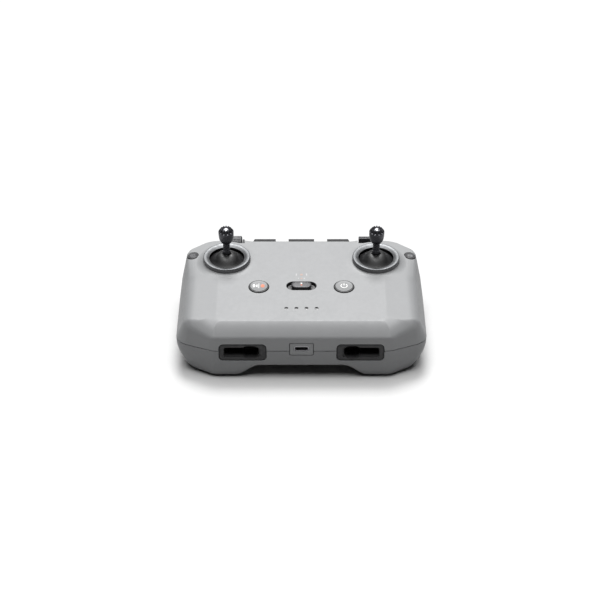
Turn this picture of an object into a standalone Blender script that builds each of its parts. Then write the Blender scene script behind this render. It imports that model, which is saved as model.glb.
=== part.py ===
"""Compact two-stick radio transmitter with a sliding phone holder.

Frame: +X to the user's right, +Y away from the user, +Z up, origin under the middle of the
object on the surface that it stands on. Sizes are written in millimetres and turned into
metres where a mesh is made.
"""

from math import atan, cos, pi, radians, sin, sqrt, tan

import bmesh
import bpy
from mathutils import Matrix, Vector

MM = 0.001

# ---------------------------------------------------------------- driving dimensions, mm
GAP = 0.3                    # between pieces that touch
CUT = 5.0                    # how far a cutter reaches past the face it opens
WALL = 2.0                   # thickness of both covers
FRONT_Y = -52.1
SEAM_Z = 20.0                # where the two covers meet
CREASE_Z = 22.5              # first loop of the side wall above the seam

FACE_Z = 36.6                # height of the top face at FACE_Y
FACE_Y = -40.0
FACE_SLOPE = 0.065
FACE_TILT = atan(FACE_SLOPE)
FLAT_HALF = 51.6             # the flat middle of the top face
FACET_SLOPE = 0.12
ROLL_START = -42.5           # where the face starts to roll down to the front wall
ROLL_END = -51.0
ROLL_DROP = 7.1
ROLL_POWER = 1.35
ROLL_WIDTH = 3.0             # the least, beside the front corners
CHAMFER_X = 54.0             # the outline slants back from here
CHAMFER_SLOPE = 0.42
ROLL_SLANT = 0.25            # slant of the roll's start, outside the flat middle
SIDE_ROLL_START = 66.0
SIDE_ROLL_RATE = 0.05        # fades out towards the rear, between the two Y below
SIDE_ROLL_Y = (0.0, 30.0)

ARCH_Z = 8.8                 # raised underside between the grips
ARCH_HALF = 26.0
GRIP_INNER = 40.4
GRIP_FILLET = 5.6
ARCH_FILLET = 2.0
SIDE_START = 64.0            # the outline counts as its side from here outwards
SIDE_REACH = 12.0
SIDE_BULGE = 19.0            # height of the rounded flank under the seam

GIMBAL_X = 47.5
GIMBAL_Y = 19.6
PIVOT_DEPTH = 12.4           # stick pivot below the top face
DOME_RADIUS = 16.4           # of the dome's outer part
DOME_RISE = 1.5              # how much further out its middle stands
DOME_RISE_ANGLES = (radians(12.0), radians(36.0))
DOME_BORE = 1.9
DOME_WALL = 1.0
DOME_ANGLE = radians(60.0)
HOUSING_HALF = 16.7
HOUSING_WALL = 1.0
HOUSING_Z = (-5.2, 2.2)
HOUSING_FLOOR = -4.4
GIMBAL_HOLE = 14.2           # hole in the top cover under a trim ring
RING_SEAT = 1.3              # depth of the trim ring's seat
RING_RADIUS = 14.9
RING_HOLE = 11.2
RING_TOP = 3.2
PIN_RADIUS = 1.5
BORE_RADIUS = 1.8
CROSS_PIN_RADIUS = 1.2
YOKE_X = 9.0
YOKE_Y = 7.5
YOKE_BAR = 1.8
YOKE_HALF = 1.6
HUB_X = 2.6
HUB_Y = 4.6
HUB_HALF = 1.9
ARM_INNER = 9.0
ARM_OUTER = 10.5
ARM_FOOT = -2.5
ARM_HALF = 3.6
ARM_PIN_START = 9.7
ARM_SLOT_ANGLE = radians(32.0)
SPRING_RADIUS = 2.2
SPRING_WIRE = 0.32
SPRING_TURNS = 2.5
SENSOR_DEPTH = 4.0
SENSOR_PIN = 3.0             # length of a pin past the housing, in its sensor
POST_RADIUS = 1.6
STEM_RADIUS = 2.2
POST_TOP = 23.5              # heights above the pivot
STEM_Z = 18.6
HEAD_Z = 26.6
HEAD_SHOULDER = 35.0
HEAD_TOP = 37.0
HEAD_RADIUS = 5.0

MAIN_BUTTON_X = 26.6
MAIN_BUTTON_Y = -8.8
MAIN_BUTTON_RADIUS = 6.0
MAIN_BUTTON_RISE = 0.8
SIDE_BUTTON_X = 69.7
SIDE_BUTTON_Y = 27.4
SIDE_BUTTON_RADIUS = 3.4
SIDE_BUTTON_TILT = radians(7.0)
SIDE_BUTTON_FOOT = 8.0
SLOT_Y = -7.6
SLOT_LENGTH = 18.9
SLOT_WIDTH = 9.0
SLIDER_LENGTH = 12.6
SLIDER_WIDTH = 6.5
SLIDER_RISE = 1.4
LED_SPACING = 6.2
LED_Y = -30.6
LED_COUNT = 4
LED_HOLE = 1.1
LED_PEG = 0.8

INSERT_NEAR_X = 21.5
INSERT_FAR_X = 50.4
INSERT_LOW = 13.0
INSERT_HIGH = 24.5
INSERT_BACK = -40.0
INSERT_FACE = -51.3
INSERT_CORNER = 2.7
POCKET_BACK = -41.2
POCKET_HEAD_X = 31.2
POCKET_TIP_X = 40.6
FRONT_CUT = -56.0            # where cutters through the front wall start
USB_HALF = 7.3
USB_LOW = 17.0
USB_HIGH = 25.3
USB_Z = 21.4

NOTCH_X = (36.6, 50.6)
NOTCH_Y = 38.3
NOTCH_Z = 29.0
DIAL_Y = 44.1
DIAL_Z = 36.4
DIAL_RADIUS = 6.2
DIAL_TEETH = 24
DIAL_TOOTH = 0.35
FORK_Y = 36.6
FORK_Z = (32.4, 39.4)

RAIL_X = (11.0, 18.0)
RAIL_Y = (-45.0, 44.0)
RAIL_Z = (13.0, 16.0)
RAIL_GAP = 0.4
JAW_HALF = 35.5
JAW_Y = 42.6
JAW_BACK = 50.6
JAW_LOW = 9.6
CHANNEL_Z = (28.3, 36.3)
CHANNEL_BACK = 47.0
PAD_Y = (44.0, 46.0)
TOOTH_TOP = 40.9
TOOTH_SLANT = 1.4
TOOTH_SPANS = ((-31.7, -16.7), (-8.3, 8.3), (16.7, 31.7))

CELL_RADIUS = 9.2
CELL_X = 49.5
CELL_Y = (-38.0, 26.0)
CELL_Z = 11.9
BOARD_Z = 29.0
BOARD_THICKNESS = 1.4
BOSS_RADIUS = 3.0
BOSS_BORE = 1.5
SCREW_RADIUS = 1.25
SCREW_HEAD = 2.5
SCREW_HOLE = 1.6
SCREW_SINK = 2.8
SCREW_PLACES = ((-22.5, -34.0), (22.5, -34.0), (-22.5, 27.0), (22.5, 27.0))

# The plan outline: corners as (x, y, radius, arc steps), on the right half, front to back.
OUTLINE = ((54.0, -52.1, 13.5, 4), (77.2, -42.3, 11.0, 5), (77.4, 5.0, 0.0, 0),
           (77.2, 36.0, 8.0, 5), (59.0, 42.2, 20.0, 3))
TOP_CORE = ((49.0, -42.5, 2.0, 4), (51.6, -38.5, 2.0, 5), (51.6, 5.0, 0.0, 0),
            (51.6, 34.0, 2.0, 5), (47.0, 38.0, 2.0, 3))
BOTTOM_CORE = ((53.0, -46.5, 3.0, 4), (60.6, -41.5, 4.0, 5), (58.6, 5.0, 0.0, 0),
               (58.6, 30.0, 3.0, 5), (52.0, 35.0, 3.0, 3))
CORE_REAR_Y = 38.0
BOTTOM_CORE_Y = (-46.5, 35.0)
LINE_X = (8.0, 17.0, 26.0, 29.6, 33.2, 36.8, 40.4)
REAR_RECESS = 1.0            # the middle of the rear wall stands this far forward
REAR_RECESS_HALF = 33.2
REAR_LINE_Y = 42.2

FINISHES = {
    "shell": ((0.56, 0.57, 0.58), 0.55, 0.0),
    "dark_plastic": ((0.05, 0.05, 0.055), 0.6, 0.0),
    "rubber": ((0.02, 0.02, 0.022), 0.8, 0.0),
    "metal": ((0.6, 0.6, 0.62), 0.3, 1.0),
    "board": ((0.02, 0.14, 0.08), 0.5, 0.0),
    "cell": ((0.08, 0.2, 0.42), 0.45, 0.0),
    "clear": ((0.75, 0.78, 0.78), 0.25, 0.0),
}


# ---------------------------------------------------------------- scene and mesh helpers
def clear_scene():
    for obj in list(bpy.data.objects):
        bpy.data.objects.remove(obj, do_unlink=True)


def make_material(name, finish):
    colour, roughness, metallic = FINISHES[finish]
    material = bpy.data.materials.new(name)
    material.use_nodes = True
    shader = material.node_tree.nodes["Principled BSDF"]
    shader.inputs["Base Color"].default_value = (*colour, 1.0)
    shader.inputs["Roughness"].default_value = roughness
    shader.inputs["Metallic"].default_value = metallic
    return material


def place(x, y, z, rotation=None):
    """Matrix, in metres, of a piece's own frame: a turn, then a move given in millimetres."""
    turn = rotation if rotation is not None else Matrix.Identity(4)
    return Matrix.Translation(Vector((x, y, z)) * MM) @ turn


def make_object(name, bm, matrix=None):
    """Object from a bmesh in millimetres. Its faces are turned outwards."""
    bmesh.ops.scale(bm, vec=(MM, MM, MM), verts=bm.verts)
    bmesh.ops.recalc_face_normals(bm, faces=bm.faces)
    mesh = bpy.data.meshes.new(name)
    bm.to_mesh(mesh)
    bm.free()
    mesh.shade_smooth()
    mesh.set_sharp_from_angle(angle=radians(35.0))
    obj = bpy.data.objects.new(name, mesh)
    bpy.context.scene.collection.objects.link(obj)
    if matrix is not None:
        obj.matrix_world = matrix
    return obj


def add_part(name, finish, bm, matrix=None):
    obj = make_object(name, bm, matrix)
    obj.data.materials.append(make_material(name + "_material", finish))
    return obj


def combine(obj, bm, operation="DIFFERENCE", matrix=None):
    """Cut a shape out of an object, or join a shape to it, with a Boolean that stays."""
    number = len(obj.modifiers)
    tool = make_object(f"{obj.name}_tool_{number}", bm, matrix)
    tool.hide_render = True
    tool.display_type = "WIRE"
    modifier = obj.modifiers.new(f"{operation.title()}_{number}", "BOOLEAN")
    modifier.operation = operation
    modifier.object = tool


def skin(loops, cyclic=False):
    """Body through loops of equal length: ends capped, or the last joined to the first."""
    bm = bmesh.new()
    rows = [[bm.verts.new(point) for point in loop] for loop in loops]
    pairs = list(zip(rows, rows[1:]))
    if cyclic:
        pairs.append((rows[-1], rows[0]))
    for low, high in pairs:
        for i in range(len(low)):
            j = (i + 1) % len(low)
            bm.faces.new((low[i], low[j], high[j], high[i]))
    if not cyclic:
        bm.faces.new(list(reversed(rows[0])))
        bm.faces.new(rows[-1])
    return bm


def oriented(u, v, w, axis):
    """Point with w along the axis and (u, v) across it."""
    if axis == "X":
        return (w, u, v)
    if axis == "Y":
        return (u, w, v)
    return (u, v, w)


def prism(outline, low, high, axis="Z"):
    return skin([[oriented(u, v, w, axis) for u, v in outline] for w in (low, high)])


def box(x, y, z):
    return prism(((x[0], y[0]), (x[1], y[0]), (x[1], y[1]), (x[0], y[1])), z[0], z[1])


def circle(radius, steps, u=0.0, v=0.0):
    turn = 2.0 * pi / steps
    return [(u + radius * cos(turn * i), v + radius * sin(turn * i)) for i in range(steps)]


def rod(radius, low, high, axis="Z", steps=16, u=0.0, v=0.0):
    return prism(circle(radius, steps, u, v), low, high, axis)


def lathe(profile, steps, axis="Z"):
    """Solid turned round the axis. Points on the axis close it; else the profile is a ring."""
    points = [[oriented(u, v, height, axis) for u, v in circle(radius, steps)]
              for radius, height in profile]
    bm = skin(points, cyclic=True)
    bmesh.ops.remove_doubles(bm, verts=bm.verts, dist=1e-4)
    return bm


def obround(length, width, steps=8):
    """Outline of a slot with round ends, centred, along the first axis."""
    radius = width / 2.0
    reach = length / 2.0 - radius
    right = [(reach + radius * sin(pi * i / steps), -radius * cos(pi * i / steps))
             for i in range(steps + 1)]
    return right + [(-u, -v) for u, v in right]


def rounded(width, height, radius, steps=3, u=0.0, v=0.0):
    """Outline of a rectangle with round corners."""
    points = []
    for quarter, (su, sv) in enumerate(((1, -1), (1, 1), (-1, 1), (-1, -1))):
        cu = u + su * (width / 2.0 - radius)
        cv = v + sv * (height / 2.0 - radius)
        for i in range(steps + 1):
            angle = pi / 2.0 * (quarter - 1 + i / steps)
            points.append((cu + radius * cos(angle), cv + radius * sin(angle)))
    return points


# ---------------------------------------------------------------- outline and top face
def corner_points(before, corner, after):
    """Points of a rounded corner between two straight runs of an outline."""
    x, y, radius, steps = corner
    here = Vector((x, y))
    back = (Vector(before[:2]) - here).normalized()
    ahead = (Vector(after[:2]) - here).normalized()
    if steps == 0:
        return [here]
    half = back.angle(ahead) / 2.0
    reach = radius / tan(half)
    centre = here + (back + ahead).normalized() * (radius / sin(half))
    first = here + back * reach - centre
    sweep = pi - 2.0 * half
    points = []
    for i in range(steps + 1):
        turn = Matrix.Rotation(sweep * i / steps, 2)
        points.append(centre + turn @ first)
    return points


def plan_loop(corners, front_y, rear_y):
    """Closed outline: front line, right side, rear line, left side, as (x, y) vectors."""
    chain = [(0.0, front_y, 0.0, 0), *corners, (0.0, rear_y(0.0), 0.0, 0)]
    right = []
    for i in range(1, len(chain) - 1):
        right += corner_points(chain[i - 1], chain[i], chain[i + 1])
    line_x = [-x for x in reversed(LINE_X)] + [0.0] + list(LINE_X)
    front = [Vector((x, front_y)) for x in line_x]
    rear = [Vector((x, rear_y(x))) for x in reversed(line_x)]
    left = [Vector((-point.x, point.y)) for point in reversed(right)]
    return front + right + rear + left


def outline_rear(x):
    return REAR_LINE_Y - (REAR_RECESS if abs(x) < REAR_RECESS_HALF + 0.1 else 0.0)


def inset_loop(loop, distances):
    """Loop moved inwards, point by point."""
    count = len(loop)
    moved = []
    for i, point in enumerate(loop):
        along = (loop[(i + 1) % count] - loop[i - 1]).normalized()
        inward = Vector((-along.y, along.x))
        moved.append(point + inward * distances[i])
    return moved


def smooth_step(value):
    value = min(1.0, max(0.0, value))
    return value * value * (3.0 - 2.0 * value)


def face_plane(y):
    return FACE_Z + FACE_SLOPE * (y - FACE_Y)


def face_height(x, y):
    """Height of the top face over a point of the plan."""
    facet = FACET_SLOPE * max(0.0, abs(x) - FLAT_HALF)
    start = ROLL_START + ROLL_SLANT * max(0.0, abs(x) - FLAT_HALF)
    end = ROLL_END + CHAMFER_SLOPE * max(0.0, abs(x) - CHAMFER_X)
    share = max(0.0, start - y) / max(ROLL_WIDTH, start - end)
    front = ROLL_DROP * share ** ROLL_POWER
    fade = 1.0 - smooth_step((y - SIDE_ROLL_Y[0]) / (SIDE_ROLL_Y[1] - SIDE_ROLL_Y[0]))
    side = fade * SIDE_ROLL_RATE * max(0.0, abs(x) - SIDE_ROLL_START) ** 2
    return face_plane(y) - facet - front - side


def side_share(point):
    """1 along the sides of the outline, 0 along its front and rear."""
    return min(1.0, max(0.0, (abs(point.x) - SIDE_START) / SIDE_REACH))


def crease_inset(point):
    """How far the side wall leans in between the seam and the edge of the top face."""
    rear = min(1.0, max(0.0, point.y / 20.0))
    side = 5.2 - 1.4 * rear
    end = 1.1 if point.y < 0.0 else 0.5
    return end + (side - end) * side_share(point)


def underside(x):
    """Height of the bottom cover's underside: raised in the middle, flat under the grips."""
    return ARCH_Z * (1.0 - smooth_step((abs(x) - ARCH_HALF) / (GRIP_INNER - ARCH_HALF)))


# ---------------------------------------------------------------- covers
def lerp_loop(first, second, share):
    return [a + (b - a) * share for a, b in zip(first, second)]


def top_cover_loops(outline, wall):
    """Outer loops of the top cover, or its inner ones with the wall's thickness."""
    seam = inset_loop(outline, [wall] * len(outline))
    crease = inset_loop(outline, [crease_inset(point) + wall for point in outline])
    core = plan_loop(TOP_CORE, ROLL_START, lambda x: CORE_REAR_Y)
    loops = [[(p.x, p.y, SEAM_Z + GAP / 2.0) for p in seam]]
    low = lerp_loop(seam, crease, 0.15)
    loops.append([(p.x, p.y, CREASE_Z) for p in low])
    for share in (0.0, 0.3, 0.65, 1.0):
        loop = lerp_loop(crease, core, share)
        loops.append([(p.x, p.y, face_height(p.x, p.y) - wall) for p in loop])
    return loops


def face_frame(x, y):
    """Frame on the top face, with its own Z square to the face."""
    return place(x, y, face_plane(y), Matrix.Rotation(FACE_TILT, 4, "X"))


def gimbal_frame(side):
    """Frame at a stick's pivot, with its own Z along the resting stick."""
    return face_frame(side * GIMBAL_X, GIMBAL_Y) @ place(0.0, 0.0, -PIVOT_DEPTH)


def side_button_frame(side):
    height = face_height(SIDE_BUTTON_X, SIDE_BUTTON_Y)
    turn = Matrix.Rotation(side * SIDE_BUTTON_TILT, 4, "Y")
    return place(side * SIDE_BUTTON_X, SIDE_BUTTON_Y, height, turn)


def led_places():
    return [(i - (LED_COUNT - 1) / 2.0) * LED_SPACING for i in range(LED_COUNT)]


def insert_cutter(side):
    x = side * (INSERT_NEAR_X + INSERT_FAR_X) / 2.0
    width = INSERT_FAR_X - INSERT_NEAR_X + 2.0 * GAP
    height = INSERT_HIGH - INSERT_LOW + 2.0 * GAP
    outline = rounded(width, height, INSERT_CORNER + GAP, 3, x,
                      (INSERT_LOW + INSERT_HIGH) / 2.0)
    return prism(outline, FRONT_CUT, -46.0, "Y")


def surround_cutter():
    half = USB_HALF + GAP
    return box((-half, half), (FRONT_CUT, -47.0), (USB_LOW - GAP, USB_HIGH + GAP))


def top_cover():
    outline = plan_loop(OUTLINE, FRONT_Y, outline_rear)
    outer = top_cover_loops(outline, 0.0)
    inner = top_cover_loops(outline, WALL)
    bm = bmesh.new()
    outer_rows = [[bm.verts.new(point) for point in loop] for loop in outer]
    inner_rows = [[bm.verts.new(point) for point in loop] for loop in inner]
    rows = list(reversed(inner_rows)) + outer_rows
    for low, high in zip(rows, rows[1:]):
        for i in range(len(low)):
            j = (i + 1) % len(low)
            bm.faces.new((low[i], low[j], high[j], high[i]))
    bm.faces.new(outer_rows[-1])
    bm.faces.new(list(reversed(inner_rows[-1])))
    cover = add_part("top_cover", "shell", bm)
    for x, y in SCREW_PLACES:
        combine(cover, rod(BOSS_RADIUS, BOARD_Z + BOARD_THICKNESS + GAP, face_plane(y) - 1.0,
                           steps=10, u=x, v=y), "UNION")
        combine(cover, rod(BOSS_BORE, BOARD_Z, face_plane(y) - WALL - 1.0,
                           steps=8, u=x, v=y))
    for side in (-1, 1):
        frame = gimbal_frame(side)
        seat = PIVOT_DEPTH - RING_SEAT
        past = PIVOT_DEPTH + CUT
        combine(cover, rod(RING_RADIUS + GAP, seat, past, steps=40), matrix=frame)
        combine(cover, rod(GIMBAL_HOLE, PIVOT_DEPTH - CUT, past, steps=40), matrix=frame)
        combine(cover, rod(MAIN_BUTTON_RADIUS + GAP, -CUT, CUT, steps=24),
                matrix=face_frame(side * MAIN_BUTTON_X, MAIN_BUTTON_Y))
        combine(cover, rod(SIDE_BUTTON_RADIUS + GAP, -SIDE_BUTTON_FOOT, CUT, steps=20),
                matrix=side_button_frame(side))
        combine(cover, insert_cutter(side))
        edges = sorted((side * NOTCH_X[0], side * NOTCH_X[1]))
        combine(cover, box(edges, (NOTCH_Y, JAW_BACK), (NOTCH_Z, JAW_BACK)))
    combine(cover, prism(obround(SLOT_LENGTH, SLOT_WIDTH), -CUT, CUT),
            matrix=face_frame(0.0, SLOT_Y))
    for x in led_places():
        hole = rod(LED_HOLE, FACE_Z - CUT, FACE_Z + CUT, steps=10, u=x, v=LED_Y)
        combine(cover, hole)
    combine(cover, surround_cutter())


def bottom_loop(outline, core, share, wall):
    """Loop of the bottom cover between its wall, at share 0, and the flat under, at 1."""
    loop = lerp_loop(outline, core, share)
    points = []
    for i, point in enumerate(loop):
        reach = (outline[i] - core[i]).length
        rest = reach * (1.0 - share)
        base = underside(point.x)
        side = side_share(outline[i])
        fillet = ARCH_FILLET + (GRIP_FILLET - ARCH_FILLET) * (1.0 - base / ARCH_Z)
        inner = max(0.0, rest - max(0.0, reach - fillet))
        arc = fillet - sqrt(max(0.0, fillet ** 2 - min(inner, fillet) ** 2))
        bulge = SIDE_BULGE * (1.0 - sqrt(1.0 - min(1.0, rest / reach) ** 2))
        height = base + arc + (bulge - arc) * side
        points.append((point.x, point.y, height + wall))
    return points


def bottom_cover():
    outline = plan_loop(OUTLINE, FRONT_Y, outline_rear)
    core = plan_loop(BOTTOM_CORE, BOTTOM_CORE_Y[0], lambda x: BOTTOM_CORE_Y[1])
    inner = inset_loop(outline, [WALL] * len(outline))
    inner_core = inset_loop(core, [0.4] * len(core))
    shares = (0.03, 0.12, 0.3, 0.55, 0.8, 1.0)
    bm = bmesh.new()
    rows = []
    for plan, middle, wall in ((outline, core, 0.0), (inner, inner_core, WALL)):
        loops = [[(p.x, p.y, SEAM_Z - GAP / 2.0) for p in plan]]
        loops += [bottom_loop(plan, middle, share, wall) for share in shares]
        rows.append([[bm.verts.new(point) for point in loop] for loop in loops])
    chain = list(reversed(rows[0])) + rows[1]
    for low, high in zip(chain, chain[1:]):
        for i in range(len(low)):
            j = (i + 1) % len(low)
            bm.faces.new((low[i], low[j], high[j], high[i]))
    span = 2 * len(LINE_X) + 1
    half = len(outline) // 2
    for under, wall in ((rows[0][-1], 0.0), (rows[1][-1], WALL)):
        for i in range(span - 1):
            bm.faces.new((under[i], under[i + 1],
                          under[half + span - 2 - i], under[half + span - 1 - i]))
        bm.faces.new(under[span - 1:half + 1])
        bm.faces.new(under[half + span - 1:] + under[:1])
    cover = add_part("bottom_cover", "shell", bm)
    for x, y in SCREW_PLACES:
        combine(cover, rod(SCREW_HOLE, 0.0, ARCH_Z + 7.2, steps=10, u=x, v=y))
        combine(cover, rod(SCREW_SINK, 0.0, ARCH_Z + 1.2, steps=14, u=x, v=y))
    for side in (-1, 1):
        combine(cover, insert_cutter(side))
        edges = sorted((side * (RAIL_X[0] - RAIL_GAP), side * (RAIL_X[1] + RAIL_GAP)))
        heights = (RAIL_Z[0] - RAIL_GAP, RAIL_Z[1] + RAIL_GAP)
        combine(cover, box(edges, (REAR_LINE_Y - CUT, REAR_LINE_Y + CUT), heights))
    combine(cover, surround_cutter())


# ---------------------------------------------------------------- gimbals and sticks
def centred_box(x, y, z):
    return box((-x, x), (-y, y), z)


def gimbal_housing(name, frame):
    """Open box round the pivot, with bores for the pins along X and Y."""
    housing = add_part(name, "dark_plastic",
                       centred_box(HOUSING_HALF, HOUSING_HALF, HOUSING_Z), frame)
    room = HOUSING_HALF - HOUSING_WALL
    combine(housing, centred_box(room, room, (HOUSING_FLOOR, 8.0)), matrix=frame)
    combine(housing, rod(BORE_RADIUS, -20.0, 20.0, "X", 12), matrix=frame)
    combine(housing, rod(BORE_RADIUS, -20.0, 20.0, "Y", 12), matrix=frame)


def dome_reach(angle):
    """Distance from the pivot to the outside of the dome, by the angle from the stick."""
    low, high = DOME_RISE_ANGLES
    return DOME_RADIUS + DOME_RISE * (1.0 - smooth_step((angle - low) / (high - low)))


def stick_dome(name, frame):
    """Dust dome round the pivot, raised in the middle, with a hole for the post."""
    steps = 8
    first = DOME_BORE / (DOME_RADIUS + DOME_RISE)
    angles = [first + (DOME_ANGLE - first) * i / steps for i in range(steps + 1)]
    profile = []
    for angle in angles:
        reach = dome_reach(angle) - DOME_WALL
        profile.append((max(DOME_BORE, reach * sin(angle)), reach * cos(angle)))
    for angle in reversed(angles):
        reach = dome_reach(angle)
        profile.append((reach * sin(angle), reach * cos(angle)))
    add_part(name, "rubber", lathe(profile, 28), frame)


def trim_ring(name, frame):
    face = PIVOT_DEPTH
    profile = ((GIMBAL_HOLE + 0.1, face - 1.0), (RING_RADIUS, face - 1.0),
               (RING_RADIUS, face + 1.9), (RING_RADIUS - 0.5, face + RING_TOP - 0.3),
               (RING_RADIUS - 1.2, face + RING_TOP), (RING_HOLE + 1.3, face + RING_TOP),
               (RING_HOLE, face + 2.2), (RING_HOLE, face + 2.0), (12.6, face + 0.8))
    add_part(name, "metal", lathe(profile, 40), frame)


def gimbal_yoke(name, frame, inward):
    """Frame that tips fore and aft on pins along X and carries the stick's cross pins."""
    yoke = add_part(name, "dark_plastic",
                    centred_box(YOKE_X, YOKE_Y, (-YOKE_HALF, YOKE_HALF)), frame)
    combine(yoke, centred_box(YOKE_X - YOKE_BAR, YOKE_Y - YOKE_BAR, (-CUT, CUT)),
            matrix=frame)
    combine(yoke, rod(CROSS_PIN_RADIUS + GAP, -YOKE_X, YOKE_X, "Y", 12), matrix=frame)
    for sign in (-1, 1):
        reach = HOUSING_HALF + (SENSOR_PIN if sign == inward else 0.0)
        ends = sorted((sign * (YOKE_X - 1.0), sign * reach))
        combine(yoke, rod(PIN_RADIUS, *ends, "X", 12), "UNION", frame)


def cross_arm(name, frame):
    """Slotted arch over the pivot: it follows the stick sideways and turns on pins along Y."""
    steps = 8
    arc = [(cos(pi * i / steps), sin(pi * i / steps)) for i in range(steps + 1)]
    inner = [(ARM_INNER * u, ARM_INNER * v) for u, v in arc]
    outer = [(-ARM_OUTER * u, ARM_OUTER * v) for u, v in arc]
    profile = [(ARM_INNER, ARM_FOOT), *inner, (-ARM_INNER, ARM_FOOT),
               (-ARM_OUTER, ARM_FOOT), *outer, (ARM_OUTER, ARM_FOOT)]
    arm = add_part(name, "dark_plastic", prism(profile, -ARM_HALF, ARM_HALF, "X"), frame)
    slot_length = 2.0 * (ARM_INNER + 1.0) * sin(ARM_SLOT_ANGLE)
    slot = obround(slot_length, 2.0 * (POST_RADIUS + 0.4), 6)
    combine(arm, prism([(v, u) for u, v in slot], 4.0, 14.0), matrix=frame)
    sensor_end = -HOUSING_HALF - SENSOR_PIN
    combine(arm, rod(PIN_RADIUS, sensor_end, -ARM_PIN_START, "Y", 12), "UNION", frame)
    combine(arm, rod(PIN_RADIUS, ARM_PIN_START, HOUSING_HALF, "Y", 12), "UNION", frame)


def stick_post(name, frame):
    """Hub with cross pins, and the post up through the arch and the dome."""
    post = add_part(name, "metal", centred_box(HUB_X, HUB_Y, (-HUB_HALF, HUB_HALF)), frame)
    pin_reach = YOKE_Y - GAP
    combine(post, rod(CROSS_PIN_RADIUS, -pin_reach, pin_reach, "Y", 10), "UNION", frame)
    combine(post, rod(POST_RADIUS, 0.0, POST_TOP, steps=12), "UNION", frame)


def stick_stem(name, frame):
    """Tube screwed on the post, with the head on its upper end."""
    bore = POST_RADIUS + GAP
    bore_end = POST_TOP + 0.7
    profile = ((bore, STEM_Z), (STEM_RADIUS + 0.5, STEM_Z), (STEM_RADIUS, STEM_Z + 1.2),
               (STEM_RADIUS, HEAD_Z + 3.0), (0.0, HEAD_Z + 3.0), (0.0, bore_end),
               (bore, bore_end))
    add_part(name, "metal", lathe(profile, 16), frame)


def stick_head(name, frame):
    """Grip of the stick: tapered underneath, with a toothed crown round a hollow top."""
    bore = STEM_RADIUS + GAP
    profile = ((bore, HEAD_Z), (bore + 0.5, HEAD_Z), (4.2, HEAD_Z + 2.2),
               (HEAD_RADIUS - 0.2, HEAD_Z + 4.0), (HEAD_RADIUS, HEAD_SHOULDER - 1.5),
               (HEAD_RADIUS - 0.2, HEAD_SHOULDER), (3.6, HEAD_TOP - 0.1), (3.0, HEAD_TOP),
               (1.9, HEAD_TOP - 0.8), (0.0, HEAD_TOP - 0.6), (0.0, HEAD_Z + 3.4),
               (bore, HEAD_Z + 3.4))
    add_part(name, "dark_plastic", lathe(profile, 20), frame)


def coil_spring(name, frame, axis, low, high):
    """Centring spring wound round a pivot pin."""
    per_turn = 10
    count = int(SPRING_TURNS * per_turn)
    curve = bpy.data.curves.new(name, "CURVE")
    curve.dimensions = "3D"
    curve.bevel_depth = SPRING_WIRE * MM
    curve.bevel_resolution = 0
    curve.use_fill_caps = True
    spline = curve.splines.new("POLY")
    spline.points.add(count)
    for i in range(count + 1):
        angle = 2.0 * pi * i / per_turn
        point = oriented(SPRING_RADIUS * cos(angle), SPRING_RADIUS * sin(angle),
                         low + (high - low) * i / count, axis)
        spline.points[i].co = (*(Vector(point) * MM), 1.0)
    obj = bpy.data.objects.new(name, curve)
    bpy.context.scene.collection.objects.link(obj)
    obj.matrix_world = frame
    curve.materials.append(make_material(name + "_material", "metal"))


def angle_sensor(name, frame, axis, sign):
    """Sensor block outside the housing wall, with a bore for the end of a pivot pin."""
    near = HOUSING_HALF + GAP
    ends = sorted((sign * near, sign * (near + SENSOR_DEPTH)))
    outline = ((-4.0, -3.2), (4.0, -3.2), (4.0, 3.0), (-4.0, 3.0))
    sensor = add_part(name, "dark_plastic", prism(outline, *ends, axis), frame)
    bore = sorted((sign * HOUSING_HALF, sign * (near + SENSOR_PIN + 0.1)))
    combine(sensor, rod(BORE_RADIUS, *bore, axis, 12), matrix=frame)


def stick_unit(label, side):
    frame = gimbal_frame(side)
    inward = -side
    gimbal_housing(f"{label}_gimbal_housing", frame)
    trim_ring(f"{label}_trim_ring", frame)
    gimbal_yoke(f"{label}_gimbal_yoke", frame, inward)
    cross_arm(f"{label}_cross_arm", frame)
    stick_post(f"{label}_stick_post", frame)
    stick_dome(f"{label}_dust_dome", frame)
    stick_stem(f"{label}_stick_stem", frame)
    stick_head(f"{label}_stick_head", frame)
    spring_ends = sorted((side * 10.2, side * 13.4))
    coil_spring(f"{label}_pitch_spring", frame, "X", *spring_ends)
    coil_spring(f"{label}_roll_spring", frame, "Y", 11.2, 13.4)
    angle_sensor(f"{label}_pitch_sensor", frame, "X", inward)
    angle_sensor(f"{label}_roll_sensor", frame, "Y", -1)


# ---------------------------------------------------------------- buttons and switch
def main_button(name, side):
    """Cap with a flange that stops it under the cover, and a foot for the board's switch."""
    radius = MAIN_BUTTON_RADIUS
    rim = radius + 1.4
    rise = MAIN_BUTTON_RISE
    profile = ((0.0, -7.4), (1.5, -7.4), (1.5, -3.6), (rim, -3.6), (rim, -2.6),
               (radius, -2.6), (radius, rise - 0.3), (radius - 0.5, rise), (0.0, rise))
    add_part(name, "shell", lathe(profile, 24),
             face_frame(side * MAIN_BUTTON_X, MAIN_BUTTON_Y))


def side_button(name, side):
    radius = SIDE_BUTTON_RADIUS
    foot = -SIDE_BUTTON_FOOT
    profile = ((0.0, foot), (1.2, foot), (1.2, -3.4), (radius, -3.4), (radius, -0.2),
               (radius - 0.4, 0.1), (0.0, 0.1))
    add_part(name, "shell", lathe(profile, 20), side_button_frame(side))


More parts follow.
